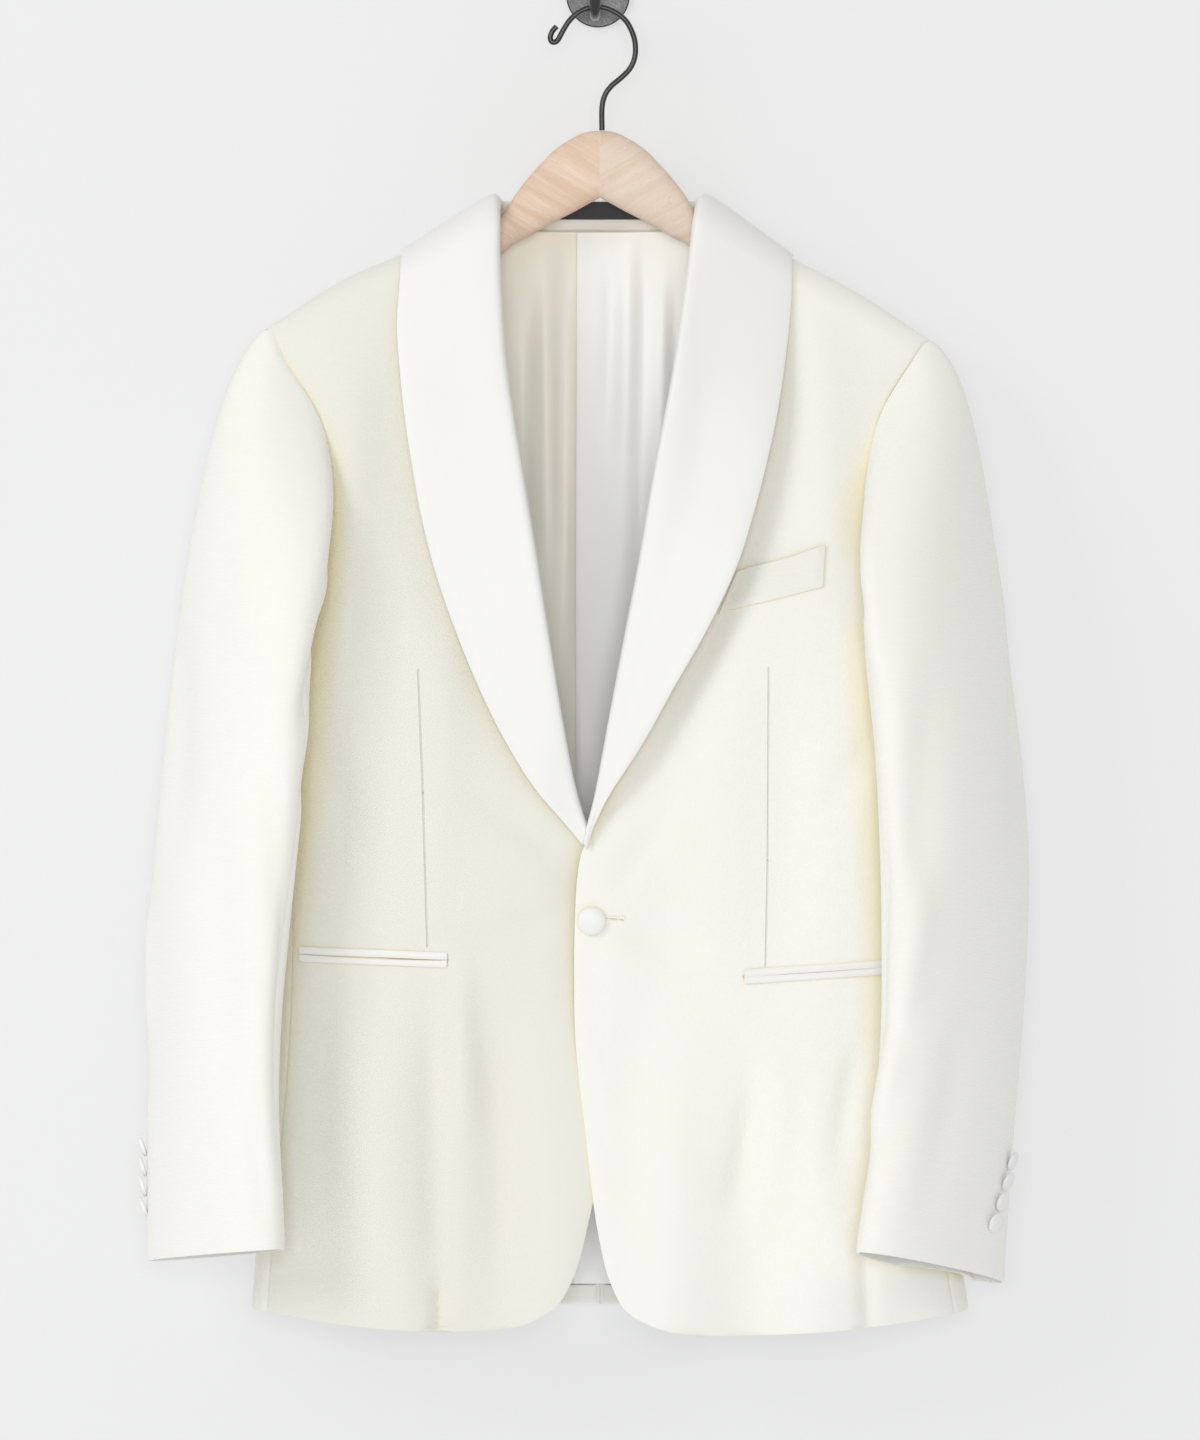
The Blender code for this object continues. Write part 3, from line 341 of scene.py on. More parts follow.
# Folds of the back lining, raised towards the wearer.
LINING_CREASES = table(
    "side x0 d0 x1 d1 bow width skew rise",
    (-1, 2, 165, 8, 560, 1, 6, 1.6, 2.3), (-1, 24, 170, 25, 480, 2, 8, 1.2, -3.9),
    (-1, 38, 170, 31, 420, 2, 7, 1, 3.4), (-1, 56, 190, 48, 400, 2, 9, 1, -3.1),
    (-1, 86, 260, 90, 700, 2, 14, 1, 3.4), (-1, 125, 300, 120, 800, 2, 16, 1, -3.1),
    (1, 10, 164, 6, 300, 1, 5, 1.2, -3.1), (1, 19, 164, 18, 330, 1, 5.5, 1.3, 3.1),
    (1, 32, 166, 27, 400, 2, 6, 1.3, -3.1), (1, 43, 170, 37, 420, 2, 6, 1.3, 3.4),
    (1, 54, 180, 47, 360, 2, 7, 1, -2.9), (1, 88, 260, 84, 680, 2, 15, 1, 3.4),
    (1, 130, 300, 126, 820, 2, 16, 1, -3.1))

for end in ("b0", "b1"):
    SLEEVE_CREASES[end] = np.radians(SLEEVE_CREASES[end]) * SLEEVE_RADIUS


# ---- Reading the tables -----------------------------------------------------
def read(rows, column, value):
    """Read a column at values of the key, on a smooth curve through the rows."""
    keys = next(iter(rows.values()))
    data = rows[column]
    last = len(keys) - 1
    low = np.maximum(np.arange(last + 1) - 1, 0)
    high = np.minimum(np.arange(last + 1) + 1, last)
    slope = (data[high] - data[low]) / (keys[high] - keys[low])
    value = np.clip(value, keys[0], keys[last])
    i = np.clip(np.searchsorted(keys, value) - 1, 0, last - 1)
    span = keys[i + 1] - keys[i]
    t = (value - keys[i]) / span
    hump = t * t * (3 - 2 * t)
    start = t * (1 - t) ** 2 * span * slope[i]
    end = t * t * (t - 1) * span * slope[i + 1]
    return data[i] * (1 - hump) + data[i + 1] * hump + start + end


def ease(value, low, high):
    """A smooth step from 0 at low to 1 at high."""
    t = np.clip((value - low) / (high - low), 0.0, 1.0)
    return t * t * (3 - 2 * t)


def blend(a, b, t):
    """From a to b by a share."""
    return a + (b - a) * t


def points(*parts):
    """Points, or flat coordinates, from their parts."""
    return np.stack(np.broadcast_arrays(*parts), axis=-1)


def unit(vectors):
    """The same ways, one metre long."""
    return vectors / np.linalg.norm(vectors, axis=-1, keepdims=True)


def outward(first, second, guide):
    """The normal of a surface from two ways along it, on the side of a guide."""
    normal = unit(np.cross(first, second))
    return normal * np.where((normal * guide).sum(-1) < 0, -1.0, 1.0)[..., None]


def bell(distance, width):
    """1 on a line, fading out to both sides of it."""
    return np.exp(-((distance / width) ** 2))


def row_for(rows, side):
    """The row of a table that belongs to a side, as named values."""
    i = list(rows["side"]).index(side)
    return {name: column[i] for name, column in rows.items()}


def crease(rows, across, down, **keys):
    """Height of soft troughs and ridges, each laid along a bowed line."""
    height = np.zeros(np.broadcast(across, down).shape)
    names = [name for name in rows if name not in keys]
    for row in zip(*rows.values()):
        cell = dict(zip(rows, row))
        if any(cell[name] != value for name, value in keys.items()):
            continue
        x0, d0, x1, d1, bow, width, skew, rise = (cell[name] for name in names)
        length = math.hypot(x1 - x0, d1 - d0)
        t = ((across - x0) * (x1 - x0) + (down - d0) * (d1 - d0)) / length ** 2
        off = ((across - x0) * (d1 - d0) - (down - d0) * (x1 - x0)) / length
        off = off - bow * 4 * t * (1 - t)
        fade = ease(t, -0.12, 0.32) * (1 - ease(t, 0.60, 1.12))
        height += rise * bell(off, width * np.where(off < 0, 1.0, skew)) * fade
    return height


# ---- The form of the body ---------------------------------------------------
def ridge(side, out):
    """Drop of the shoulder ridge, run on as a straight line over the neck."""
    over_neck = NECK_DROP - NECK_SLOPE * (NECK_OUT - out)
    along = np.clip((out - SHOULDER_BOW_START) / SHOULDER_BOW_WIDTH, 0.0, 1.0)
    bow = SHOULDER_BOW[side] * np.sin(np.pi * along) ** 2
    shoulder = NECK_DROP + SHOULDER_SLOPE[side] * (out - NECK_OUT) - bow
    return np.where(out < NECK_OUT, over_neck, shoulder)


def wrap_at(below):
    """Distance along the cloth at a height below the ridge."""
    turn = np.arccos(np.clip(1 - np.maximum(below, 0.0) / SHOULDER_ROLL, -1.0, 1.0))
    far = SHOULDER_ROLL * (math.pi / 2 - 1) + below
    return np.where(below < SHOULDER_ROLL, SHOULDER_ROLL * turn, far)


def unwrap(wrap):
    """Height below the ridge, and the depth of the roll there."""
    turn = np.abs(wrap) / SHOULDER_ROLL
    bent = turn < math.pi / 2
    far = SHOULDER_ROLL * (1 + turn - math.pi / 2)
    below = np.where(bent, SHOULDER_ROLL * (1 - np.cos(turn)), far)
    return below, np.where(bent, SHOULDER_ROLL * np.sin(turn), SHOULDER_ROLL)


def lap(side, out, drop):
    """Step of the fronts where the left one laps over the right one."""
    reach = (1 - ease(out, *LAP_ACROSS[side])) * ease(drop, *LAP_START[side])
    return -LAP_STEP * reach if side < 0 else LAP_LIFT * reach * (1 - ease(drop, *LAP_END))


def lapel_hollow(side, out, drop):
    """The front's dip under the lapel's edge."""
    edge, depth = (read(rows, SIDE_NAMES[side], drop) for rows in (LAPEL_EDGE, LAPEL_HOLLOW))
    off = out - edge - HOLLOW_PAST_EDGE
    outer_width = HOLLOW_WIDTH[side] + HOLLOW_WIDENS * ease(drop, 0.42, 0.56)
    return -depth * bell(off, np.where(off < 0, HOLLOW_INNER_WIDTH, outer_width))


def folds(side, face, out, drop):
    """Height of the broad folds, out from the panel."""
    height = 0.0
    for on_side, on_face, centre, top, bottom, width, rise in zip(*FOLDS.values()):
        if (on_side, on_face) == (side, face):
            height += rise * bell(out - centre, width) * ease(drop, top, blend(top, bottom, 0.6))
    return height


def front_relief(side, out, drop, bare):
    """Height of all that lies on the front: folds, lap, creases and the lapel's hollow."""
    height = folds(side, 1, out, drop) + lap(side, out, drop)
    if not bare:
        height += crease(CREASES, out, drop, side=side, face=1) + lapel_hollow(side, out, drop)
    return height


def back_relief(side, out, drop):
    """Height of the folds and creases on the back."""
    return folds(side, -1, out, drop) + crease(CREASES, out, drop, side=side, face=-1)


def skin(side, out, wrap, flat=None, bare=False):
    """Points of the inner face of the cloth; bare leaves the smaller creases out."""
    below, roll = unwrap(wrap)
    drop = ridge(side, np.abs(out)) + below
    if flat is None:
        share = np.minimum(np.abs(out) / read(BODY, SIDE_NAMES[side], drop), 1.0)
        flat = (1 - share ** SECTION_POWER) ** (1 / SECTION_POWER)
    ahead = roll + read(DEPTH, "front", below) + front_relief(side, out, drop, bare)
    behind = roll + read(DEPTH, "back", below) + back_relief(side, out, drop)
    y = np.where(wrap >= 0, -ahead, behind) * flat
    return points(side * out, y, -drop)


def raised(side, out, wrap, rise, bare=False):
    """Points moved out of the cloth's inner face along its normal."""
    def at(out, wrap):
        return skin(side, out, wrap, bare=bare)

    out, wrap, rise = (np.asarray(a, float) for a in np.broadcast_arrays(out, wrap, rise))
    step = 0.002
    face = np.where(wrap >= 0, 1.0, -1.0)
    down = at(out, face * (np.abs(wrap) + step)) - at(out, face * np.maximum(np.abs(wrap) - step, 0.0))
    across = at(out + step, wrap) - at(out - step, wrap)
    return at(out, wrap) + outward(down, across, points(side * out * 2, -face, 0.5)) * rise[..., None]


def on_front(side, out, drop, rise):
    """Points on the front at a drop, moved out by a rise."""
    return raised(side, out, wrap_at(drop - ridge(side, np.abs(out))), rise)


def neck_seam(side, out):
    """Drop of the seam between the back and the collar."""
    return blend(BACK_NECK_DROP, ridge(side, NECK_SEAM_OUT), (out / NECK_SEAM_OUT) ** 6)


def hem_drop(side, turn, out):
    """Drop of the hem, from the fronts' own line to the level back."""
    return blend(read(HEM, SIDE_NAMES[side], np.abs(out)), BACK_HEM_DROP, ease(turn, *HEM_RISES))


def top_wrap(side, turn, out):
    """Where a panel starts: at the ridge, or at the back neck seam."""
    seam = wrap_at(neck_seam(side, np.minimum(out, NECK_SEAM_OUT)) - ridge(side, out))
    return np.where((turn < 1) | (out > NECK_SEAM_OUT), 0.0, seam)


def place_round(side, turn, down):
    """Out and wrap at a turn, 0 centre front and 2 centre back, and a share down."""
    angle = turn * math.pi / 2
    across = np.copysign(np.abs(np.sin(angle)) ** (2 / SECTION_POWER), np.sin(angle))
    drop = blend(0.25, 0.92, down)  # a first guess, which the rounds below make good
    for _ in range(6):
        out = across * read(BODY, SIDE_NAMES[side], drop)
        start = top_wrap(side, turn, np.abs(out))
        end = wrap_at(hem_drop(side, turn, out) - ridge(side, np.abs(out)))
        wrap = blend(start, end, down)
        drop = ridge(side, np.abs(out)) + unwrap(wrap)[0]
    return out, wrap, drop


def around(side, turn, down):
    """Points of the body by turn and share down."""
    turn, down = np.broadcast_arrays(np.asarray(turn, float), np.asarray(down, float))
    out, wrap, _ = place_round(side, turn, down)
    flat = np.abs(np.cos(turn * math.pi / 2)) ** (2 / SECTION_POWER)
    return skin(side, out, np.where(turn <= 1, wrap, -wrap), flat)


def turn_of(side, out, drop):
    """The turn at which the body's section reaches an out."""
    share = out / read(BODY, SIDE_NAMES[side], drop)
    angle = np.arcsin(np.minimum(np.abs(share), 1.0) ** (SECTION_POWER / 2))
    return np.copysign(angle, share) / (math.pi / 2)


def armhole_lean(side, down):
    """Share of the armhole's reach at a share down, less near the shoulder."""
    above = np.maximum(1 - down / ARMHOLE_LEAN_END, 0.0)
    return 1 - ARMHOLE_LEAN[side] * above ** ARMHOLE_LEAN_POWER


def armhole_turn(side, down, half):
    """How far the armhole reaches from the side at a share down."""
    middle = ARMHOLE_DEPTH / 2
    half = half * armhole_lean(side, down)
    return half * np.sqrt(np.maximum(1 - ((down - middle) / middle) ** 2, 0.0))


def armhole_foot(turn):
    """The share down at which the armhole's lower edge crosses a turn."""
    half = np.where(turn < 1, ARMHOLE_FRONT, ARMHOLE_BACK)
    return ARMHOLE_DEPTH / 2 * (1 + np.sqrt(1 - ((turn - 1) / half) ** 2))


def panel_edge(side, down, seam):
    """The turn at which a panel ends: on the armhole, and below it at a side seam."""
    reach = armhole_turn(side, down, ARMHOLE_FRONT if seam < 1 else ARMHOLE_BACK)
    return np.where(down < armhole_foot(seam), 1 + np.sign(seam - 1) * reach, seam)


def seam_step(side, turn, down):
    """The turn that makes half a seam's gap."""
    step = 0.004
    gap = around(side, turn + step, down) - around(side, turn - step, down)
    return SEAM * step / np.linalg.norm(gap, axis=-1)


def raised_round(side, turn, down, rise):
    """Points of the body by turn and share down, moved along their normals."""
    step = 0.01
    point = around(side, turn, down)
    across = around(side, turn + step, down) - around(side, turn - step, down)
    low = around(side, turn, np.maximum(down - step, 0.0))
    drop = around(side, turn, np.minimum(down + step, 1.0)) - low
    guide = points(point[..., 0], point[..., 1], 0.02)
    return point + outward(across, drop, guide) * np.asarray(rise)[..., None]


# ---- Making meshes ----------------------------------------------------------
def axis_of_body(spots):
    """The body's upright middle line, which its cloth faces away from."""
    return spots * (0.0, 0.0, 1.0)


def mesh_numbers(things, name, width):
    """A property of all points, corners or faces, as rows of numbers."""
    values = np.empty(len(things) * width)
    things.foreach_get(name, values)
    return values.reshape(-1, width)


def grid_mesh(name, columns, rows, place):
    """A grid laid on a form; place gives points and flat coordinates for its shares."""
    bm = bmesh.new()
    bmesh.ops.create_grid(bm, x_segments=columns, y_segments=rows, size=0.5)
    mesh = bpy.data.meshes.new(name)
    bm.to_mesh(mesh)
    bm.free()
    shares = mesh_numbers(mesh.vertices, "co", 3)[:, :2] + 0.5
    spots, flat = place(shares[:, 0], shares[:, 1])
    mesh.vertices.foreach_set("co", spots.ravel())
    corner = mesh_numbers(mesh.loops, "vertex_index", 1).astype(int).ravel()
    mesh.uv_layers.new(name="flat").data.foreach_set("uv", flat[corner].ravel())
    mesh.update()
    return mesh, shares


def show(name, mesh, look):
    """Put a mesh in the scene as a piece that rides on the jacket's body."""
    mesh.materials.append(look)
    thing = bpy.data.objects.new(name + MADE, mesh)
    bpy.context.scene.collection.objects.link(thing)
    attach(thing, "root")
    mesh.shade_smooth()
    return thing


def face_outwards(mesh, middle):
    """Turn a sheet's faces away from its middle."""
    centres, normals, areas = (
        mesh_numbers(mesh.polygons, name, width)
        for name, width in (("center", 3), ("normal", 3), ("area", 1)))
    if ((centres - middle(centres)) * normals * areas).sum() < 0:
        mesh.flip_normals()
        mesh.update()


def shift(mesh, moves):
    """Move a mesh's points."""
    spots = mesh_numbers(mesh.vertices, "co", 3) + moves
    mesh.vertices.foreach_set("co", spots.ravel())
    mesh.update()


def cloth(name, columns, rows, place, thick, look, middle=axis_of_body, relief=None, edge=0.0005):
    """A cloth wall on a form, with its relief, thickness and rounded edges."""
    mesh, shares = grid_mesh(name, columns, rows, place)
    face_outwards(mesh, middle)
    if relief is not None:
        height = relief(shares[:, 0], shares[:, 1])
        shift(mesh, mesh_numbers(mesh.vertices, "normal", 3) * height[:, None])
    shift(mesh, HOOK_SEAT)
    thing = show(name, mesh, look)
    wall = thing.modifiers.new("Cloth wall", "SOLIDIFY")
    wall.thickness = thick
    wall.offset = 1.0
    fold = thing.modifiers.new("Folded edge", "BEVEL")
    fold.limit_method = "ANGLE"
    fold.angle_limit = math.radians(50)
    fold.width = edge
    fold.segments = 2
    fold.harden_normals = False
    return thing


def crowd(share, first=1.0, last=1.0):
    """Crowd the lines of a grid towards either end; 1 leaves them even."""
    return (1 - share) * share ** first + share * (1 - (1 - share) ** last)


def seam_dip(distance, depth=SEAM_DIP, reach=SEAM_REACH):
    """How a cloth sinks towards a seam, by the distance from it."""
    return -depth * bell(distance, reach)


def fold_dip(distance):
    """How a cloth sinks towards an edge that is turned in, by the distance from it."""
    return seam_dip(distance, FOLD_DIP, FOLD_REACH)


def settle(name, mesh, bm, look, sharp):
    """Show a closed bmesh as a piece, faces outwards; sharp is the angle that stays an edge."""
    bmesh.ops.recalc_face_normals(bm, faces=bm.faces[:])
    bm.to_mesh(mesh)
    bm.free()
    thing = show(name, mesh, look)
    if sharp:
        mesh.set_sharp_from_angle(angle=math.radians(sharp))
    return thing


def solid(name, ring, rows, place, look, sharp=40, merge=1e-6, ends=True):
    """Rings laid one after another, with flat ends or none."""
    mesh, _ = grid_mesh(name, ring, rows, place)
    bm = bmesh.new()
    bm.from_mesh(mesh)
    bmesh.ops.remove_doubles(bm, verts=bm.verts[:], dist=merge)
    if ends:
        bmesh.ops.holes_fill(bm, edges=[e for e in bm.edges if e.is_boundary], sides=0)
    bmesh.ops.translate(bm, verts=bm.verts[:], vec=Vector(HOOK_SEAT))
    return settle(name, mesh, bm, look, sharp)


def along_path(keys, steps):
    """Evenly shared points of a smooth path, with the directions at them."""
    rows = {"at": np.arange(len(keys), dtype=float)}
    for i, name in enumerate("xyz"):
        rows[name] = np.array([key[i] for key in keys])
    at = np.linspace(0.0, len(keys) - 1.0, steps)
    spots = np.stack([read(rows, name, at) for name in "xyz"], axis=-1)
    return spots, unit(np.gradient(spots, axis=0))


def wire(name, keys, radii, steps, look, ring=20):
    """A round wire along a path, its radius read from a row of shares."""
    spots, ways = along_path(keys, steps)
    side = np.cross(ways[0], (0.0, 0.0, 1.0) if abs(ways[0][2]) < 0.9 else (0.0, 1.0, 0.0))
    frames = []
    for way in ways:
        side = side - way * np.dot(side, way)
        side = side / np.linalg.norm(side)
        frames.append((side, np.cross(way, side)))
    frames = np.array(frames)
    shares = np.linspace(0.0, 1.0, len(radii))

    def place(u, v):
        i = np.rint(v * (steps - 1)).astype(int)
        radius = np.interp(v, shares, radii)[:, None]
        angle = (u * 2 * math.pi)[:, None]
        ring_at = frames[i, 0] * np.cos(angle) + frames[i, 1] * np.sin(angle)
        return spots[i] + ring_at * radius, points(u * 0.012, v)

    return solid(name, ring, steps - 1, place, look)


def turned(name, profile, centre, axis, segments, look, sharp=40):
    """A turned solid: a profile of (radius, height) spun about an axis."""
    bm = bmesh.new()
    line = [bm.verts.new((radius, 0.0, height)) for radius, height in profile]
    edges = [bm.edges.new(pair) for pair in zip(line, line[1:])]
    bmesh.ops.spin(
        bm, geom=line + edges, cent=(0, 0, 0), axis=(0, 0, 1), angle=2 * math.pi,
        steps=segments, use_merge=True)
    bmesh.ops.remove_doubles(bm, verts=bm.verts[:], dist=1e-6)
    place = Matrix.Translation(Vector(centre) + Vector(HOOK_SEAT)) @ (
        Vector(axis).to_track_quat("Z", "Y").to_matrix().to_4x4())
    bmesh.ops.transform(bm, matrix=place, verts=bm.verts[:])
    return settle(name, bpy.data.meshes.new(name), bm, look, sharp)


def unevenness(across, down, seed):
    """Slow, small swells that keep hanging cloth from lying dead flat."""
    height = np.zeros(np.broadcast(across, down).shape)
    for i in range(4):
        turn = seed * 1.7 + i * 2.4
        pace_across = 26 + 17 * i + 9 * math.sin(turn)
        pace_down = 9 + 8 * i + 5 * math.cos(turn * 1.3)
        wave = np.sin(across * pace_across + 2.2 * np.sin(down * 7 + turn) + turn)
        height += wave * np.sin(down * pace_down + turn * 2.1) / (1 + i)
    return height


# ---- Body panels ------------------------------------------------------------
def front(label, side, look):
    """A front, from the roll line and the front edge round to the side seam."""
    def rows(u, v):
        down = crowd(v, 1.5, 1.6)
        drop = blend(NECK_DROP, 0.93, down)
        for _ in range(8):
            roll = read(ROLL_LINE, label, drop) + LAPEL_ROLL
            inner = blend(roll, read(FRONT_EDGE, label, drop), ease(drop, 0.562, 0.600))
            turn = turn_of(side, inner, drop)
            drop = blend(drop, place_round(side, turn, down)[2], 0.6)
        last = panel_edge(side, down, SIDE_FRONT_SEAM)
        last = last - seam_step(side, np.minimum(last, 0.97), np.maximum(down, 0.02))
        return blend(turn, last, crowd(u, 1.0, 1.35)), down

    def place(u, v):
        turn, down = rows(u, v)
        out, wrap, _ = place_round(side, turn, down)
        return around(side, turn, down), points(side * out, -wrap)

    def relief(u, v):
        turn, down = rows(u, v)
        out, wrap, drop = place_round(side, turn, down)
        height = seam_dip((1 - crowd(u, 1.0, 1.35)) * FRONT_WIDE) + seam_dip(wrap)
        edge = fold_dip(u * FRONT_WIDE) * ease(drop, 0.58, 0.64)
        height += np.minimum(edge, fold_dip((1 - down) * FRONT_LONG))
        return height + UNEVEN["front"] * unevenness(out, drop, 1 + side)

    return cloth("front_" + label, 66, 190, place, CLOTH, look, relief=relief)


def side_panel(label, side, look):
    """The panel under the arm, between the front's seam and the back's."""
    def rows(u, v):
        turn = blend(SIDE_FRONT_SEAM, SIDE_BACK_SEAM, crowd(u, 1.35, 1.35))
        down = blend(armhole_foot(turn) + 0.001, 1.0, crowd(v, 1.3, 1.0))
        return turn + blend(1, -1, u) * seam_step(side, turn, down), down

    def place(u, v):
        turn, down = rows(u, v)
        return around(side, turn, down), points(turn * 0.1, -place_round(side, turn, down)[1])

    def relief(u, v):
        across, down = crowd(u, 1.35, 1.35), crowd(v, 1.3, 1.0)
        height = seam_dip(across * SIDE_WIDE) + seam_dip((1 - across) * SIDE_WIDE)
        height += seam_dip(down * SIDE_LONG) + fold_dip((1 - v) * SIDE_LONG)
        return height + UNEVEN["side"] * unevenness(u * 0.09, v * 0.6, 5 + side)

    return cloth("side_" + label, 24, 130, place, CLOTH, look, relief=relief)


def back_turn(first, last, u):
    """Turns across the back, with a line of points under the neck point."""
    near = blend(first, NECK_TURN, 2 * u)
    far = blend(NECK_TURN, last, np.maximum(2 * u - 1, 0.0) ** 1.6)
    return np.where(u < 0.5, near, far)


def back(label, side, look):
    """Half of the back, from the side seam to the centre back seam."""
    def rows(u, v):
        down = v ** 1.4
        first = panel_edge(side, down, SIDE_BACK_SEAM)
        first = first + seam_step(side, np.maximum(first, 1.03), np.maximum(down, 0.02))
        last = 2 - seam_step(side, 1.96, np.maximum(down, 0.02))
        return back_turn(first, last, crowd(u, 1.3, 1.0)), down

    def place(u, v):
        turn, down = rows(u, v)
        out, wrap, _ = place_round(side, turn, down)
        return around(side, turn, down), points(side * out, wrap)

    def relief(u, v):
        turn, down = rows(u, v)
        out, wrap, drop = place_round(side, turn, down)
        height = seam_dip(crowd(u, 1.3, 1.0) * BACK_WIDE) + seam_dip(np.abs(out))
        height += seam_dip(wrap - top_wrap(side, turn, np.abs(out))) + fold_dip((1 - down) * BACK_LONG)
        return height + UNEVEN["back"] * unevenness(out, drop, 3 - side)

    return cloth("back_" + label, 60, 170, place, CLOTH, look, relief=relief)


# ---- Shawl collar -----------------------------------------------------------
COLLAR_LIFT = table(
    "along lift",
    (0, 0), (0.1, 0.5), (0.3, 3), (0.6, 4.5), (0.72, 4.5), (1, 4))

# The collar's section, from the tuck inside the front, over the roll, to the edge.
COLLAR_SECTION = table(
    "along near across lifted rise",
    (0, 9.2, 0, 0, -1.8), (0.09, 5, 0, 0, -1.6), (0.16, 2, 0, 0.25, -0.8), (0.21, 0.4, 0, 0.55, 0.6),
    (0.26, 0.2, 0, 0.85, 2.4), (0.31, 1.4, 0, 1, 3.7), (0.38, 3, 0.04, 1, 4.3),
    (0.48, 2, 0.2, 0.82, 4.3), (0.62, 1.2, 0.42, 0.48, 4.1), (0.76, 0.8, 0.65, 0.22, 3.9),
    (0.9, 0.4, 0.87, 0.06, 3.8), (1, 0, 1, 0, 3.6))


def collar_row(label, along):
    """Roll line and outer edge as out and wrap, from the button round to centre back."""
    side = SIDES[label]
    up = 1 - (1 - np.minimum(along / COLLAR_FRONT_SHARE, 1.0)) ** 1.7
    roll_drop = blend(COLLAR_END[side], NECK_DROP, up)
    edge_drop = blend(COLLAR_END[side] + 0.004, ridge(side, SHOULDER_EDGE), up)
    roll_out = read(ROLL_LINE, label, roll_drop)
    edge_out = np.maximum(read(LAPEL_EDGE, label, edge_drop), roll_out + COLLAR_LEAST)
    behind = along >= COLLAR_FRONT_SHARE
    turn = np.clip((along - COLLAR_FRONT_SHARE) / (1 - COLLAR_FRONT_SHARE), 0.0, 1.0) ** 1.4
    row = []
    for name, out, drop in (("roll", roll_out, roll_drop), ("edge", edge_out, edge_drop)):
        wrap = wrap_at(drop - ridge(side, np.abs(out)))
        row.append(np.where(behind, read(BACK_COLLAR, name + "_out", turn), out))
        row.append(np.where(behind, -wrap_at(read(BACK_COLLAR, name + "_below", turn)), wrap))
    return row


def shawl(label, side, look):
    """Half of the collar, rolled over from inside the front to its outer edge."""
    def section(u, v):
        roll_out, roll, edge_out, edge = collar_row(label, v)
        width = np.hypot(edge_out - roll_out, edge - roll)
        small = np.minimum(width / COLLAR_NARROW, 1.0)
        reach = read(COLLAR_SECTION, "near", u) * small + read(COLLAR_SECTION, "across", u) * width
        return roll_out, roll, edge_out, edge, width, reach

    def place(u, v):
        roll_out, roll, edge_out, edge, width, reach = section(u, v)
        share = reach / width
        lift = read(COLLAR_LIFT, "lift", v)
        rise = read(COLLAR_SECTION, "rise", u) + read(COLLAR_SECTION, "lifted", u) * lift
        rise = rise + read(LAPEL_LIFT, label, v) * ease(share, 0.25, 1.05) * (u > COLLAR_SHOWN)
        spots = raised(
            side, blend(roll_out, edge_out, share), blend(roll, edge, share), rise, bare=True)
        return spots, points(side * reach, v * COLLAR_LONG)

    def relief(u, v):
        width, reach = section(u, v)[4:]
        height = seam_dip(width - reach, 0.0004, 0.0030)
        height += UNEVEN["collar"] * unevenness(reach, v * COLLAR_LONG, 8 + side)
        height += 0.0010 * np.sin(np.pi * np.clip(reach / width, 0, 1)) * ease(v, 0.04, 0.2)
        seam = seam_dip((1 - v) * COLLAR_LONG, 0.0006)
        return height * (u > COLLAR_SHOWN) + seam * (v > 0.9)

    return cloth("shawl_" + label, 34, 200, place, SATIN, look, relief=relief, edge=0.0004)


# ---- Inside of the back -----------------------------------------------------
def back_band(name, look, ends, above, rise, thick, bow):
    """A strip across the inside of the back neck, measured up from the neck seam."""
    def place(u, v):
        out = blend(ends[0], ends[1], u)
        seam = blend(BACK_NECK_DROP, neck_seam(1, np.abs(out)), bow)
        drop = seam - blend(above[0], above[1], v)
        spots = raised(1, out, -wrap_at(drop - ridge(1, np.abs(out))), rise, bare=True)
        return spots, points(out, -drop)

    return cloth(name, 48, 10, place, thick, look, edge=0.0002)


def lining(label, side, look):
    """Half of the back lining; the left half laps over in the centre pleat."""
    def rows(u, v):
        down = LINING_FOOT * v
        turn = back_turn(panel_edge(side, down, SIDE_BACK_SEAM) + 0.02, LINING_END[side], u)
        out = np.abs(place_round(side, turn, down)[0])
        start = blend(0.002, 0.050, ease(out, 0.064, 0.078))
        return turn, blend(start, LINING_FOOT, v ** 1.2)

    def place(u, v):
        turn, down = rows(u, v)
        out, _, drop = place_round(side, turn, down)
        pleat = PLEAT_DEEP * ease(turn, 1.93, 1.985) if side > 0 else 0.0
        full = LINING_FULL * ease(u, 0.02, 0.2) * (1 - ease(v, 0.86, 0.98))
        folded = np.maximum(crease(LINING_CREASES, out, drop, side=side) + full, 0.0)
        folded *= 1 - 0.75 * ease(turn, 1.985, 2.0) * (side < 0)
        spots = raised_round(side, turn, down, -LINING_GAP - LINING - pleat - folded)
        return spots, points(side * out, -drop)

    return cloth("lining_" + label, 76, 120, place, LINING, look, edge=0.0003)


def hem(label, side, look):
    """The back's hem, turned up inside."""
    def place(u, v):
        turn = back_turn(SIDE_BACK_SEAM + 0.02, 1.997, u)
        down = blend(0.9825, 0.9985, v)
        out, _, drop = place_round(side, turn, down)
        spots = raised_round(side, turn, down, np.full(u.shape, -HEM_GAP - HEM_WALL))
        return spots, points(side * out, -drop)

    return cloth("hem_" + label, 48, 5, place, HEM_WALL, look, edge=0.0003)


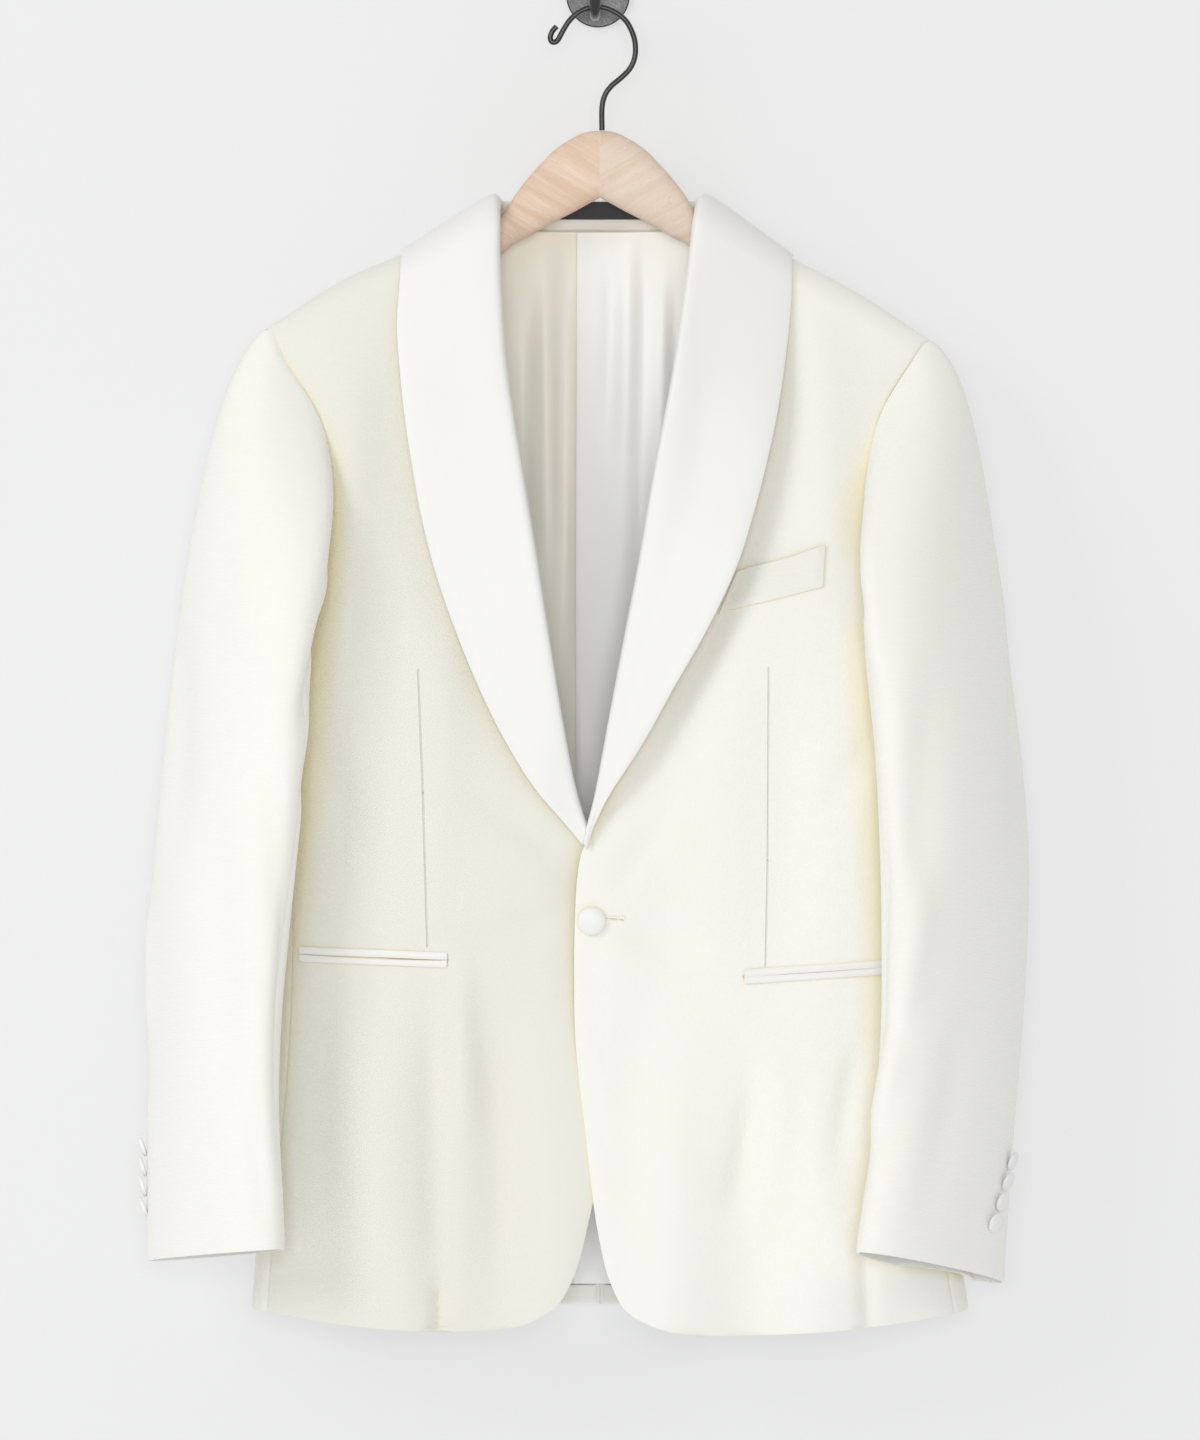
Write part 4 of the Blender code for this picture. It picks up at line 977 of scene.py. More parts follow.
# ---- Sleeves ----------------------------------------------------------------
def oval(side, bearing, drop):
    """A level section of the sleeve: bearing 0 outward, 90 front, 180 at the body."""
    rows = SLEEVES[side]
    outer, inner, deep, thick, forward = (read(rows, name, drop) for name in list(rows)[1:])
    half = (outer - inner) / 2
    yaw = np.arcsin(np.sqrt((half ** 2 - thick ** 2) / (deep ** 2 - thick ** 2)))
    angle = np.radians(90 - bearing)
    along, across = deep * np.cos(angle), thick * np.sin(angle)
    out = (outer + inner) / 2 - along * np.sin(yaw) + across * np.cos(yaw)
    return out, -forward - along * np.cos(yaw) - across * np.sin(yaw)


def clear_of_body(side, out, y, drop, gap):
    """Push points out of the body's section, so that a sleeve lies against it."""
    width = read(BODY, SIDE_NAMES[side], drop) + gap
    below, roll = unwrap(wrap_at(drop - ridge(side, out)))
    deep = roll + np.where(y < 0, read(DEPTH, "front", below), read(DEPTH, "back", below)) + gap
    share = (np.abs(out) / width) ** SECTION_POWER + (np.abs(y) / deep) ** SECTION_POWER
    push = np.maximum(share ** (-1 / SECTION_POWER), 1.0)
    return points(side * out * push, y * push, -drop)


def sleeve_ring(side, bearing):
    """The armhole's edge, where the sleeve is set in."""
    angle = np.radians(bearing)
    half = np.where(np.sin(angle) > 0, ARMHOLE_FRONT, ARMHOLE_BACK)
    down = ARMHOLE_DEPTH / 2 * (1 - RING_TALL * np.cos(angle))
    reach = RING_DEEP * half * np.sin(angle) * armhole_lean(side, down)
    ring = around(side, 1 - reach, down)
    return ring + np.array((side * RING_OUT, 0.0, 0.0))


def cuff_drop(side, bearing):
    """Drop of the cuff's edge at a bearing."""
    return blend(*CUFF_END[side], (1 - np.cos(np.radians(90 - bearing))) / 2)


def sleeve_point(side, bearing, t):
    """Points of the sleeve at a bearing and a share of the way to the cuff."""
    def hanging_at(drop):
        return clear_of_body(side, *oval(side, bearing, drop), drop, SLEEVE_CLEARANCE)

    bearing, t = np.broadcast_arrays(np.asarray(bearing, float), np.asarray(t, float))
    lower = np.maximum((t - SLEEVE_CAP_SHARE) / (1 - SLEEVE_CAP_SHARE), 0.0)
    hanging = hanging_at(blend(SLEEVE_START, cuff_drop(side, bearing), lower))
    s = np.minimum(t / SLEEVE_CAP_SHARE, 1.0)[..., None]
    start = sleeve_ring(side, bearing)
    level = np.full(bearing.shape, SLEEVE_START)
    end, below = hanging_at(level), hanging_at(level + 0.03)
    facing = (bearing + 180) % 360 - 180
    out, ahead, down = (read(SLEEVE_HEAD, name, facing) for name in ("out", "ahead", "down"))
    reach = np.linalg.norm(end - start, axis=-1, keepdims=True)
    hump = s * s * (3 - 2 * s)
    cap = start * (1 - hump) + end * hump
    cap = cap + points(side * out, -ahead, -down) * reach * s * (1 - s) ** 2
    cap = cap + unit(below - end) * reach * SLEEVE_HANG * s * s * (s - 1)
    gap = SLEEVE_CLEARANCE * ease(s[..., 0], 0.0, 0.2)
    pushed = clear_of_body(side, cap[..., 0] * side, cap[..., 1], -cap[..., 2], gap)
    cap = np.where((-cap[..., 2] < ARMHOLE_CLEAR)[..., None], cap, pushed)
    return np.where((t >= SLEEVE_CAP_SHARE)[..., None], hanging, cap)


def sleeve_middle(side):
    """The sleeve's own middle line, which its cloth faces away from."""
    rows = SLEEVES[side]

    def middle(spots):
        down = -spots[:, 2]
        drop = np.maximum(down, SLEEVE_START)
        out = (read(rows, "outer", drop) + read(rows, "inner", drop)) / 2
        capped = blend(out, 0.205, ease(-down, -0.47, -0.36))
        high = points(side * capped, -0.01, -down - 0.03)
        low = points(side * out, -read(rows, "forward", drop), -down)
        return np.where((down < SLEEVE_START)[:, None], high, low)

    return middle


def sleeve_piece(name, side, first, last, columns, look, under):
    """A piece of a sleeve between two bearings; the under one has the cuff's vent."""
    span = math.radians(last - first) * SLEEVE_RADIUS

    def shares(u, v):
        return blend(first, last, crowd(u, 1.3, 1.3)), crowd(v, 1.25, 1.0)

    def place(u, v):
        bearing, t = shares(u, v)
        spots = sleeve_point(side, bearing, t)
        return spots, points(np.radians(bearing) * SLEEVE_RADIUS, spots[:, 2])

    def relief(u, v):
        bearing, t = shares(u, v)
        drop = -sleeve_point(side, bearing, t)[:, 2]
        arc = np.radians(bearing) * SLEEVE_RADIUS
        share, length = crowd(u, 1.3, 1.3), t * SLEEVE_LONG
        to_cuff = cuff_drop(side, bearing) - drop
        height = seam_dip(share * span) + seam_dip((1 - share) * span)
        height += seam_dip(length, 0.0016, 0.0040)
        roped = ease(length, 0.004, 0.014) * (1 - ease(length, 0.030, 0.090))
        height += 0.0008 * roped * np.clip(np.cos(np.radians(bearing)), 0, 1)
        height += crease(SLEEVE_CREASES, arc, drop, side=side) * ease(t, 0.03, 0.12)
        height += 0.00035 * bell(to_cuff - 0.040, 0.003) + fold_dip(to_cuff)
        if under:
            height += seam_dip((1 - share) * span, 0.0013, 0.012) * (1 - ease(to_cuff, 0.085, 0.10))
        return height + UNEVEN["sleeve"] * unevenness(arc, drop, 11 + side + under)

    return cloth(name, columns, 150, place, CLOTH, look, sleeve_middle(side), relief)


def sleeve(label, side, look):
    """The top and the under piece of a sleeve."""
    front_seam, back_seam = SLEEVE_SEAM_FRONT, SLEEVE_SEAM_BACK
    return (
        sleeve_piece("top_sleeve_" + label, side, back_seam, front_seam, 60, look, False),
        sleeve_piece("under_sleeve_" + label, side, front_seam, back_seam + 360, 42, look, True))


# ---- Pockets and buttons ----------------------------------------------------
def hip_pocket(label, side, look):
    """The two satin jets of a hip pocket, with the mouth between them."""
    pocket = row_for(POCKETS, side)

    def strip(name, top, lower):
        def place(u, v):
            out = blend(*POCKET_ENDS[side], u)
            drop = blend(pocket["inner_drop"], pocket["outer_drop"], u)
            gape = pocket["slit"] * 0.8 * np.sin(np.pi * u) ** 0.7 * (1 - v if lower else 0.0)
            rounded = 0.0006 * np.sin(np.pi * v) + 0.0001
            spots = on_front(side, out, drop + top + gape + POCKET_JET * v, CLOTH + rounded)
            return spots, points(side * out, -v * POCKET_JET)

        return cloth(name, 72, 6, place, 0.0010, look, edge=0.0003)

    return (
        strip("pocket_jet_upper_" + label, 0.0, False),
        strip("pocket_jet_lower_" + label, POCKET_JET + pocket["slit"] * 0.4, True))


def breast_welt(look):
    """The slanted welt of the breast pocket, its upper edge a little open."""
    top, bottom = ([np.array(corner) for corner in edge] for edge in (WELT_TOP, WELT_BOTTOM))

    def place(u, v):
        spot = blend(blend(*top, u[:, None]), blend(*bottom, u[:, None]), v[:, None])
        spot[:, 1] += 0.0012 * np.sin(np.pi * u) * (1 - v)
        sewn = 1 - np.maximum(bell(v - 1, 0.10), bell(u - 1, 0.05))
        rise = CLOTH + 0.0001 + 0.0007 * sewn + 0.0005 * (1 - v) ** 3
        return on_front(1, spot[:, 0], spot[:, 1], rise), spot * (1, -1)

    return cloth("breast_welt", 44, 24, place, 0.0011, look, edge=0.0004)


def covered_button(name, centre, axis, diameter, thick, look):
    """A shank button covered with satin: a low dome with a gathered rim."""
    angle = np.linspace(0.0, math.pi / 2, 12)
    dome = [
        (diameter / 2 * math.sin(a) ** 0.85, thick * (0.42 + 0.58 * math.cos(a) ** 0.9))
        for a in angle]
    rim = [(diameter * 0.497, thick * 0.25), (diameter * 0.47, thick * 0.08), (diameter * 0.40, 0.0)]
    return turned(name, dome + rim + [(0.0, 0.0)], centre, axis, 72, look, sharp=60)


def front_button(look, diameter):
    """The button that fastens the fronts."""
    out, drop = (np.array([value]) for value in BUTTON_AT)
    seat = on_front(1, out, drop, CLOTH + 0.0005)[0]
    away = unit(on_front(1, out, drop, 0.01)[0] - seat)
    return covered_button("front_button", seat, away, diameter, BUTTON_THICK, look)


def buttonhole(look):
    """A worked buttonhole: a bar of thread laid round a slit."""
    centre_out, drop, half, tall = 0.0046, 0.6385, 0.0112, 0.0013
    thread, stitches = 0.00042, 96
    straight = 2 * half / (2 * half + math.pi * tall)

    def place(u, v):
        lap_share = (u * 2) % 1.0
        sign = np.where(u < 0.5, 1.0, -1.0)
        on_bar = lap_share < straight
        bend = np.clip((lap_share - straight) / (1 - straight), 0, 1) * math.pi
        bar = blend(-half, half, lap_share / straight)
        across = np.where(on_bar, bar, half + tall * np.sin(bend)) * sign
        down = np.where(on_bar, -tall, -tall * np.cos(bend)) * sign
        ring = v * 2 * math.pi
        rib = thread * (1 + 0.22 * np.cos(u * 2 * math.pi * stitches))
        off = np.where(on_bar, 0.0, np.sin(bend)) * sign
        away = np.where(on_bar, -1.0, -np.cos(bend)) * sign
        across = across + off * rib * np.cos(ring)
        down = down + away * rib * np.cos(ring)
        spots = on_front(1, centre_out + across, drop + down, CLOTH + 0.0002 + rib * np.sin(ring))
        return spots, points(u * 0.06, v * 0.003)

    return solid("buttonhole", 384, 8, place, look, sharp=None, merge=2e-6, ends=False)


def cuff_buttons(label, side, look, diameter):
    """Four buttons up the cuff, each leaning out at its upper edge."""
    row = row_for(CUFF_BUTTONS, side)
    made = []
    for i in range(4):
        bearing = float(row["bearing"] + i * row["turn"])
        cuff = cuff_drop(side, bearing)
        drop = row["first_drop"] + i * CUFF_PITCH
        t = blend(SLEEVE_CAP_SHARE, 1.0, (drop - SLEEVE_START) / (cuff - SLEEVE_START))
        nearby = sleeve_point(
            side, np.array([bearing, bearing + 3, bearing - 3, bearing, bearing]),
            np.array([t, t, t, t + 0.01, t - 0.01]))
        across = nearby[1] - nearby[2]
        normal = unit(np.cross(across, nearby[3] - nearby[4]))
        normal = normal * (1 if normal[0] * side > 0 else -1)
        uneven = 1 + 0.15 * math.sin(i * 2.1 + (1 - side) / 2)
        tilt = Matrix.Rotation(-CUFF_TILT * side * uneven, 3, Vector(across))
        lift = CLOTH + 0.0004 + math.sin(CUFF_TILT) * diameter * 0.30
        made.append(covered_button(
            f"cuff_button_{label}_{i + 1}", nearby[0] + normal * lift, tilt @ Vector(normal),
            diameter, CUFF_BUTTON_THICK, look))
    return made


# ---- Hanger and wall hook ---------------------------------------------------
def hanger(label, side, look):
    """Half of the contoured hanger, its long edges rounded over."""
    def place(u, v):
        out = blend(HANGER_GAP, HANGER_HALF, v ** 0.9)
        below, height, thick = (read(HANGER, name, out) for name in ("below", "height", "thick"))
        up, across = np.cos(u * 2 * math.pi), np.sin(u * 2 * math.pi)
        up = np.copysign(np.abs(up) ** HANGER_ROUND_UP, up)
        across = np.copysign(np.abs(across) ** HANGER_ROUND_ACROSS, across)
        drop = ridge(side, out) + below + height / 2 * (1 - up)
        return points(side * out, thick * across, -drop), points(side * out, -drop)

    return solid("hanger_" + label, 64, 110, place, look, sharp=60)


def hanger_hook(look):
    """The wire hook, from inside the wood to its tip."""
    keys = [(out, 0.0, -drop) for out, drop in zip(*HOOK_ROUTE.values())]
    return wire("hanger_hook", keys, [WIRE_RADIUS] * 2, 180, look)


def wall_hook(look):
    """The round plate on the wall, and the peg that the hanger's hook sits on."""
    half, thick, round_over = 0.0225, 0.004, 0.0009
    bend = [math.radians(a) for a in range(0, 91, 15)]
    profile = [(0.0, 0.0), (half, 0.0)] + [
        (half - round_over * (1 - math.cos(a)), thick - round_over * (1 - math.sin(a)))
        for a in bend] + [(0.0, thick)]
    plate = turned("wall_plate", profile, -HOOK_SEAT, (0, -1, 0), 96, look)
    keys = [(PEG_OUT, -f, r) for f, r in zip(PEG_ROUTE["forward"], PEG_ROUTE["rise"])]
    peg = wire("wall_peg", keys, PEG_RADIUS * PEG_ROUTE["radius"], 90, look, ring=28)
    return plate, peg


# ---- Finishes ---------------------------------------------------------------
def link(tree, source, target):
    """Join two sockets."""
    tree.links.new(source, target)


def add_node(tree, kind, inputs=(), **settings):
    """Add a node, with its settings and what feeds its sockets."""
    made = tree.nodes.new(kind)
    for name, value in settings.items():
        setattr(made, name, value)
    for socket, value in dict(inputs).items():
        if isinstance(value, bpy.types.NodeSocket):
            link(tree, value, made.inputs[socket])
        else:
            made.inputs[socket].default_value = value
    return made


def calc(tree, operation, *inputs, **settings):
    """What a Math node makes of its inputs."""
    return add_node(
        tree, "ShaderNodeMath", dict(enumerate(inputs)), operation=operation, **settings).outputs[0]


def vector_calc(tree, operation, *inputs, result=0):
    """What a Vector Math node makes of its inputs."""
    return add_node(
        tree, "ShaderNodeVectorMath", dict(enumerate(inputs)), operation=operation).outputs[result]


def remapped(tree, value, low, high, new_low, new_high, **settings):
    """A value brought from one range to another."""
    return add_node(
        tree, "ShaderNodeMapRange",
        {"Value": value, "From Min": low, "From Max": high, "To Min": new_low, "To Max": new_high},
        **settings).outputs[0]


def stretched_by(tree, vector, scale):
    """A vector with each of its parts scaled."""
    return add_node(tree, "ShaderNodeMapping", {"Vector": vector, "Scale": scale}).outputs[0]


def noise(tree, vector, scale, detail, **inputs):
    """An uneven value that changes over a vector."""
    values = {"Vector": vector, "Scale": scale, "Detail": detail, **inputs}
    return add_node(tree, "ShaderNodeTexNoise", values).outputs["Fac"]


def mixed(tree, factor, first, second, **settings):
    """A colour between two, or of two, by a factor; colours may be plain or sockets."""
    return add_node(
        tree, "ShaderNodeMix", {0: factor, 6: first, 7: second}, data_type="RGBA", **settings).outputs[2]


def new_group(name, inputs, outputs):
    """A node group with named sockets; a socket's kind follows from its plain value."""
    group = bpy.data.node_groups.new(name, "ShaderNodeTree")
    kinds = {1: "NodeSocketFloat", 3: "NodeSocketVector", 4: "NodeSocketColor"}
    for way, sockets in (("INPUT", inputs), ("OUTPUT", outputs)):
        for label, value in sockets.items():
            socket = group.interface.new_socket(label, in_out=way, socket_type=kinds[np.size(value)])
            socket.default_value = value
    return group, group.nodes.new("NodeGroupInput").outputs, group.nodes.new("NodeGroupOutput").inputs


def weave_group():
    """Yarns that cross, and the slow mottling of piece-dyed cloth."""
    group, given, out = new_group(
        "Woven yarns", {"Flat": NOWHERE, "Yarn": 1400.0, "Twill": 1.0, "Slub": 0.5},
        {"Height": 0.0, "Mottle": 0.0})
    parts = add_node(group, "ShaderNodeSeparateXYZ", {0: given["Flat"]}).outputs
    across, down = (calc(group, "MULTIPLY", parts[i], given["Yarn"]) for i in (0, 1))
    ribs = calc(group, "SINE", calc(group, "MULTIPLY_ADD", down, given["Twill"], across))
    yarns = calc(group, "MULTIPLY_ADD", ribs, 0.6, calc(group, "SINE", down))
    long_way = stretched_by(group, given["Flat"], (1.0, 0.25, 1.0))
    slubs = noise(group, long_way, 900.0, 2.0, Roughness=0.6)
    slub = calc(group, "MULTIPLY", slubs, given["Slub"])
    link(group, calc(group, "MULTIPLY_ADD", yarns, 0.16, slub), out["Height"])
    link(group, noise(group, given["Flat"], 14.0, 4.0, Roughness=0.55), out["Mottle"])


def sewn_line_group():
    """A mask along a straight seam sewn into one piece of cloth."""
    group, given, out = new_group(
        "Sewn line", {"Flat": NOWHERE, "Start": NOWHERE, "End": NOWHERE, "Reach": 0.0008},
        {"Line": 0.0})
    rel, way = (
        vector_calc(group, "SUBTRACT", given[name], given["Start"]) for name in ("Flat", "End"))
    along, size = (
        vector_calc(group, "DOT_PRODUCT", side, way, result="Value") for side in (rel, way))
    share = calc(group, "DIVIDE", along, size, use_clamp=True)
    foot = add_node(group, "ShaderNodeVectorMath", {0: way, "Scale": share}, operation="SCALE").outputs[0]
    far = vector_calc(group, "LENGTH", vector_calc(group, "SUBTRACT", rel, foot), result="Value")
    line = remapped(group, far, 0.0, given["Reach"], 1.0, 0.0, interpolation_type="SMOOTHSTEP")
    link(group, line, out["Line"])


def painted_shade_group():
    """Painted shade: the cloth's colour multiplied by a tan tone where it sees little but cloth; open air
    is 1.
    """
    group, given, out = new_group(
        "Nooks", {"Open": 1.0, "Colour": WHITE, "Deep": WHITE}, {"Colour": WHITE})
    shade_mask = remapped(group, given["Open"], 0.25, 0.94, 1.0, 0.0)
    shade_tinted = mixed(group, shade_mask, given["Colour"], given["Deep"], blend_type="MULTIPLY")
    link(group, shade_tinted, out["Colour"])


def grain_group():
    """Growth streaks and short flecks of planed beech, along X."""
    group, given, out = new_group(
        "Beech grain", {"Place": NOWHERE, "Streaks": 1.0}, {"Tone": 0.0, "Fleck": 0.0})
    bands, hairs, cells = (
        stretched_by(group, given["Place"], scale)
        for scale in ((7.0, 60.0, 160.0), (90.0, 600.0, 1500.0), (320.0, 900.0, 1300.0)))
    bands = noise(group, bands, 1.0, 5.0, Roughness=0.6, Distortion=0.6)
    tone = calc(group, "MULTIPLY_ADD", noise(group, hairs, 1.0, 2.0), 0.35, bands)
    link(group, remapped(group, tone, 0.45, 0.95, 0.0, given["Streaks"]), out["Tone"])
    link(group, remapped(group, noise(group, cells, 1.0, 1.0), 0.66, 0.74, 0.0, 1.0), out["Fleck"])


def use(tree, group_name, inputs):
    """Place a node group in a tree; gives its outputs."""
    return add_node(tree, "ShaderNodeGroup", inputs, node_tree=bpy.data.node_groups[group_name]).outputs


def principled(name, **values):
    """A material and its tree and shader, with plain values on the shader's sockets."""
    material = bpy.data.materials.new(name)
    material.use_nodes = True
    tree = material.node_tree
    shader = tree.nodes["Principled BSDF"]
    for socket, value in values.items():
        shader.inputs[socket.replace("_", " ")].default_value = value
    return material, tree, shader


def toned(colour, *shares):
    """A colour times a share, or times one share for each of red, green and blue."""
    return tuple(value * share for value, share in zip(colour, shares * (3 // len(shares))))


def dress(tree, shader, tone, rough, height, strength, distance):
    """Feed a shader its colour, its roughness and its relief."""
    bump = add_node(tree, "ShaderNodeBump", {"Height": height, "Strength": strength, "Distance": distance})
    for source, name in ((tone, "Base Color"), (rough, "Roughness"), (bump.outputs[0], "Normal")):
        link(tree, source, shader.inputs[name])


def cloth_finish(name, colour, yarn, twill, slub, relief, rough, sheen, spread, lines=(),
                 shade_tone=None, shade_reach=PAINTED_SHADE_REACH):
    """Cloth: woven relief and mottling on the piece's own flat map, with any sewn lines and painted shade
    in nooks.
    """
    material, tree, shader = principled(
        name, Sheen_Weight=sheen, Sheen_Roughness=0.45,
        Specular_IOR_Level=0.35 if rough > 0.6 else 0.5)
    flat = add_node(tree, "ShaderNodeUVMap", uv_map="flat").outputs[0]
    weave = use(tree, "Woven yarns", {"Flat": flat, "Yarn": yarn, "Twill": twill, "Slub": slub})
    mottle, height = weave["Mottle"], weave["Height"]
    tone = mixed(
        tree, mottle, (*toned(colour, 1 - spread), 1.0), (*toned(colour, 1 + spread * 0.6), 1.0))
    # Each sewn line darkens the colour as painted shade and sinks the bump.
    for start, end, reach, dark in lines:
        line = use(
            tree, "Sewn line",
            {"Flat": flat, "Start": (*start, 0.0), "End": (*end, 0.0), "Reach": reach})["Line"]
        faint = calc(tree, "MULTIPLY", line, dark)
        tone = mixed(tree, faint, tone, SEAM_SHADE, blend_type="MULTIPLY")
        height = calc(tree, "MULTIPLY_ADD", line, -4.0, height)
    # Painted shade: ambient occlusion tints the colour tan in creases, under the lapels and beside the
    # sleeves.
    if shade_tone:
        air = add_node(tree, "ShaderNodeAmbientOcclusion", {"Distance": shade_reach}, samples=8)
        tone = use(
            tree, "Nooks",
            {"Open": air.outputs["AO"], "Colour": tone, "Deep": (*shade_tone, 1.0)})["Colour"]
    rough = remapped(tree, mottle, 0.2, 0.8, rough - 0.04, rough + 0.04)
    dress(tree, shader, tone, rough, height, 1.0, relief)
    return material


def beech_finish(name, colour, slope, streaks):
    """Pale beech, sealed; the grain runs along the arm."""
    material, tree, shader = principled(name, Coat_Roughness=0.35, Specular_IOR_Level=0.45)
    place = add_node(tree, "ShaderNodeTexCoord").outputs["Object"]
    laid = add_node(tree, "ShaderNodeMapping", {"Vector": place, "Rotation": (0.0, slope, 0.0)})
    grain = use(tree, "Beech grain", {"Place": laid.outputs[0], "Streaks": streaks})
    pale, streak, fleck = (
        (*toned(colour, *shares), 1.0) for shares in ((1.04,), BEECH_STREAK, BEECH_FLECK))
    tone = mixed(tree, grain["Tone"], pale, streak)
    tone = mixed(tree, calc(tree, "MULTIPLY", grain["Fleck"], 0.35), tone, fleck)
    rough = remapped(tree, grain["Tone"], 0.0, 1.0, 0.42, 0.56)
    dress(tree, shader, tone, rough, grain["Tone"], 0.25, 0.0003)
    return material


def lacquer_finish(name, colour):
    """Black lacquered metal, with a faint orange-peel."""
    material, tree, shader = principled(name, Metallic=0.0, Coat_Roughness=0.30, Coat_Weight=0.2)
    peel = noise(tree, add_node(tree, "ShaderNodeTexCoord").outputs["Object"], 900.0, 2.0)
    tone = mixed(tree, peel, (*toned(colour, 0.8), 1.0), (*toned(colour, 1.3), 1.0))
    dress(tree, shader, tone, remapped(tree, peel, 0.3, 0.7, 0.24, 0.34), peel, 0.15, 0.0001)
    return material


def flat_of(side, out, drop):
    """Where a spot of the front lies on the front's flat map."""
    wrap = float(wrap_at(np.array(drop) - ridge(side, np.array(abs(out)))))
    return side * out, -wrap


def front_lines(side):
    """The dart and the pocket mouth of a front, as lines of painted shade on its flat map."""
    spots = [flat_of(side, *spot) for spot in DARTS[side]]
    lines = [(*ends, 0.0009, 0.22) for ends in zip(spots, spots[1:])]
    pocket = row_for(POCKETS, side)
    depth = POCKET_JET + pocket["slit"] / 2
    mouth = [
        flat_of(side, out, pocket[name] + depth)
        for out, name in zip(POCKET_ENDS[side], ("inner_drop", "outer_drop"))]
    return lines + [(*mouth, 0.0016, 0.9)]


def jacket():
    """The sizes and colours that a user sets."""
    return bpy.context.scene.jacket


def finish_of(kind):
    """The finish of a kind, made on first use."""
    name = kind + "_finish"
    made = bpy.data.materials.get(name)
    if made:
        return made
    if "Woven yarns" not in bpy.data.node_groups:
        for make_group in (weave_group, sewn_line_group, grain_group, painted_shade_group):
            make_group()
    now = jacket()
    wool, beech = tuple(now.wool_colour), tuple(now.wood_colour)
    painted_shade_wool = toned(wool, WOOL_PAINTED_SHADE)
    lined = (*LINING_CLOTH, (), LINING_PAINTED_SHADE_TONE, LINING_PAINTED_SHADE_REACH)
    # Painted shade: the welt, the right side panel and the right front take darker copies of the wool.
    maker, *values = {
        "wool": (cloth_finish, wool, *WOOL_CLOTH),
        "wool_trim": (cloth_finish, painted_shade_wool, *WOOL_CLOTH, (), PAINTED_SHADE_TONE),
        "wool_left": (cloth_finish, wool, *WOOL_CLOTH, (), PAINTED_SHADE_TONE),
        "wool_right": (cloth_finish, painted_shade_wool, *WOOL_CLOTH, (), PAINTED_SHADE_TONE),
        "wool_front_left": (cloth_finish, wool, *WOOL_CLOTH, front_lines(1), PAINTED_SHADE_TONE),
        "wool_front_right": (
            cloth_finish, toned(wool, *WOOL_FRONT_PAINTED_SHADE), *WOOL_CLOTH, front_lines(-1), PAINTED_SHADE_TONE),
        "satin": (cloth_finish, tuple(now.satin_colour), *SATIN_CLOTH),
        # Painted light and shade: the left lining half is a lit white, the right half a darker, warmer
        # copy.
        "lining_left": (cloth_finish, LINING_LIT, *lined),
        "lining_right": (cloth_finish, tuple(now.lining_colour), *lined),
        "label": (cloth_finish, tuple(now.label_colour), *LABEL_CLOTH),
        "thread": (cloth_finish, toned(wool, 0.99), *THREAD_CLOTH),
        "beech_left": (beech_finish, beech, math.radians(28), 0.75),
        "beech_right": (beech_finish, toned(beech, *BEECH_WARM), math.radians(-30), 1.0),
        "black_metal": (lacquer_finish, tuple(now.metal_colour)),
    }[kind]
    return maker(name, *values)


# ---- Settings, operators and panel ------------------------------------------
def colour_setting(name, text, default):
    """A colour that a user sets."""
    return bpy.props.FloatVectorProperty(
        name=name, description=text, subtype="COLOR", size=3, min=0.0, max=1.0, default=default)


def amount_setting(name, text, default, low, high, unit="NONE"):
    """A number that a user sets between two bounds."""
    return bpy.props.FloatProperty(
        name=name, description=text, default=default, min=low, max=high, unit=unit)


class JacketSettings(bpy.types.PropertyGroup):
    wool_colour: colour_setting("Wool", "Colour of the jacket's cloth", (0.900, 0.896, 0.866))
    satin_colour: colour_setting("Satin", "Colour of the collar's facing", (0.852, 0.849, 0.846))
    # Painted shade: the right lining half's darker, warmer copy of the lining's white.
    lining_colour: colour_setting("Lining", "Colour of the lining", (0.955, 0.925, 0.850))
    label_colour: colour_setting("Label", "Colour of the bare neck label", (0.050, 0.050, 0.054))
    wood_colour: colour_setting("Beech", "Colour of the hanger", (0.74, 0.62, 0.53))
    metal_colour: colour_setting("Metal", "Colour of the hooks", (0.010, 0.010, 0.0105))
    front_button: amount_setting(
        "Front button", "Diameter of the front button", 0.020, 0.014, 0.026, "LENGTH")
    cuff_button: amount_setting(
        "Cuff button", "Diameter of the cuff buttons", 0.0145, 0.010, 0.018, "LENGTH")


class StageSettings(bpy.types.PropertyGroup):
    wall_tone: amount_setting("Wall", "How light the wall and the floor are", 0.36, 0.1, 1.0)
    key: amount_setting(
        "Key light", "Strength of the light from the left", 45.0, 0.0, 1000.0, "POWER")
    front: amount_setting(
        "Front light", "Strength of the light beside the camera", 196.0, 0.0, 1000.0, "POWER")
    fill: amount_setting("Fill", "Strength of the light from all round", 0.55, 0.0, 5.0)
    distance: amount_setting(
        "Camera distance", "From the camera to the jacket's front", 8.0, 2.0, 20.0, "LENGTH")


def node_of(thing):
    """The name of the solid that a piece stands for."""
    return thing.name.removesuffix(MADE)


def stand_for(thing):
    """Hide the solid of a piece's name, which the piece stands in for."""
    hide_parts(node_of(thing))
    return thing


class JACKET_OT_fronts(bpy.types.Operator):
    """Make both fronts, with their darts, pockets, front button and buttonhole"""
    bl_idname = "jacket.fronts"
    bl_label = "Fronts"

    def execute(self, context):
        for label, side in SIDES.items():
            panel = stand_for(front(label, side, finish_of("wool_front_" + label)))
            trim = [stand_for(jet) for jet in hip_pocket(label, side, finish_of("satin"))]
            if side > 0:
                trim.append(stand_for(breast_welt(finish_of("wool_trim"))))
                hole = buttonhole(finish_of("thread"))
                button = front_button(finish_of("satin"), jacket().front_button)
                trim += [hole, stand_for(button)]
        return {"FINISHED"}


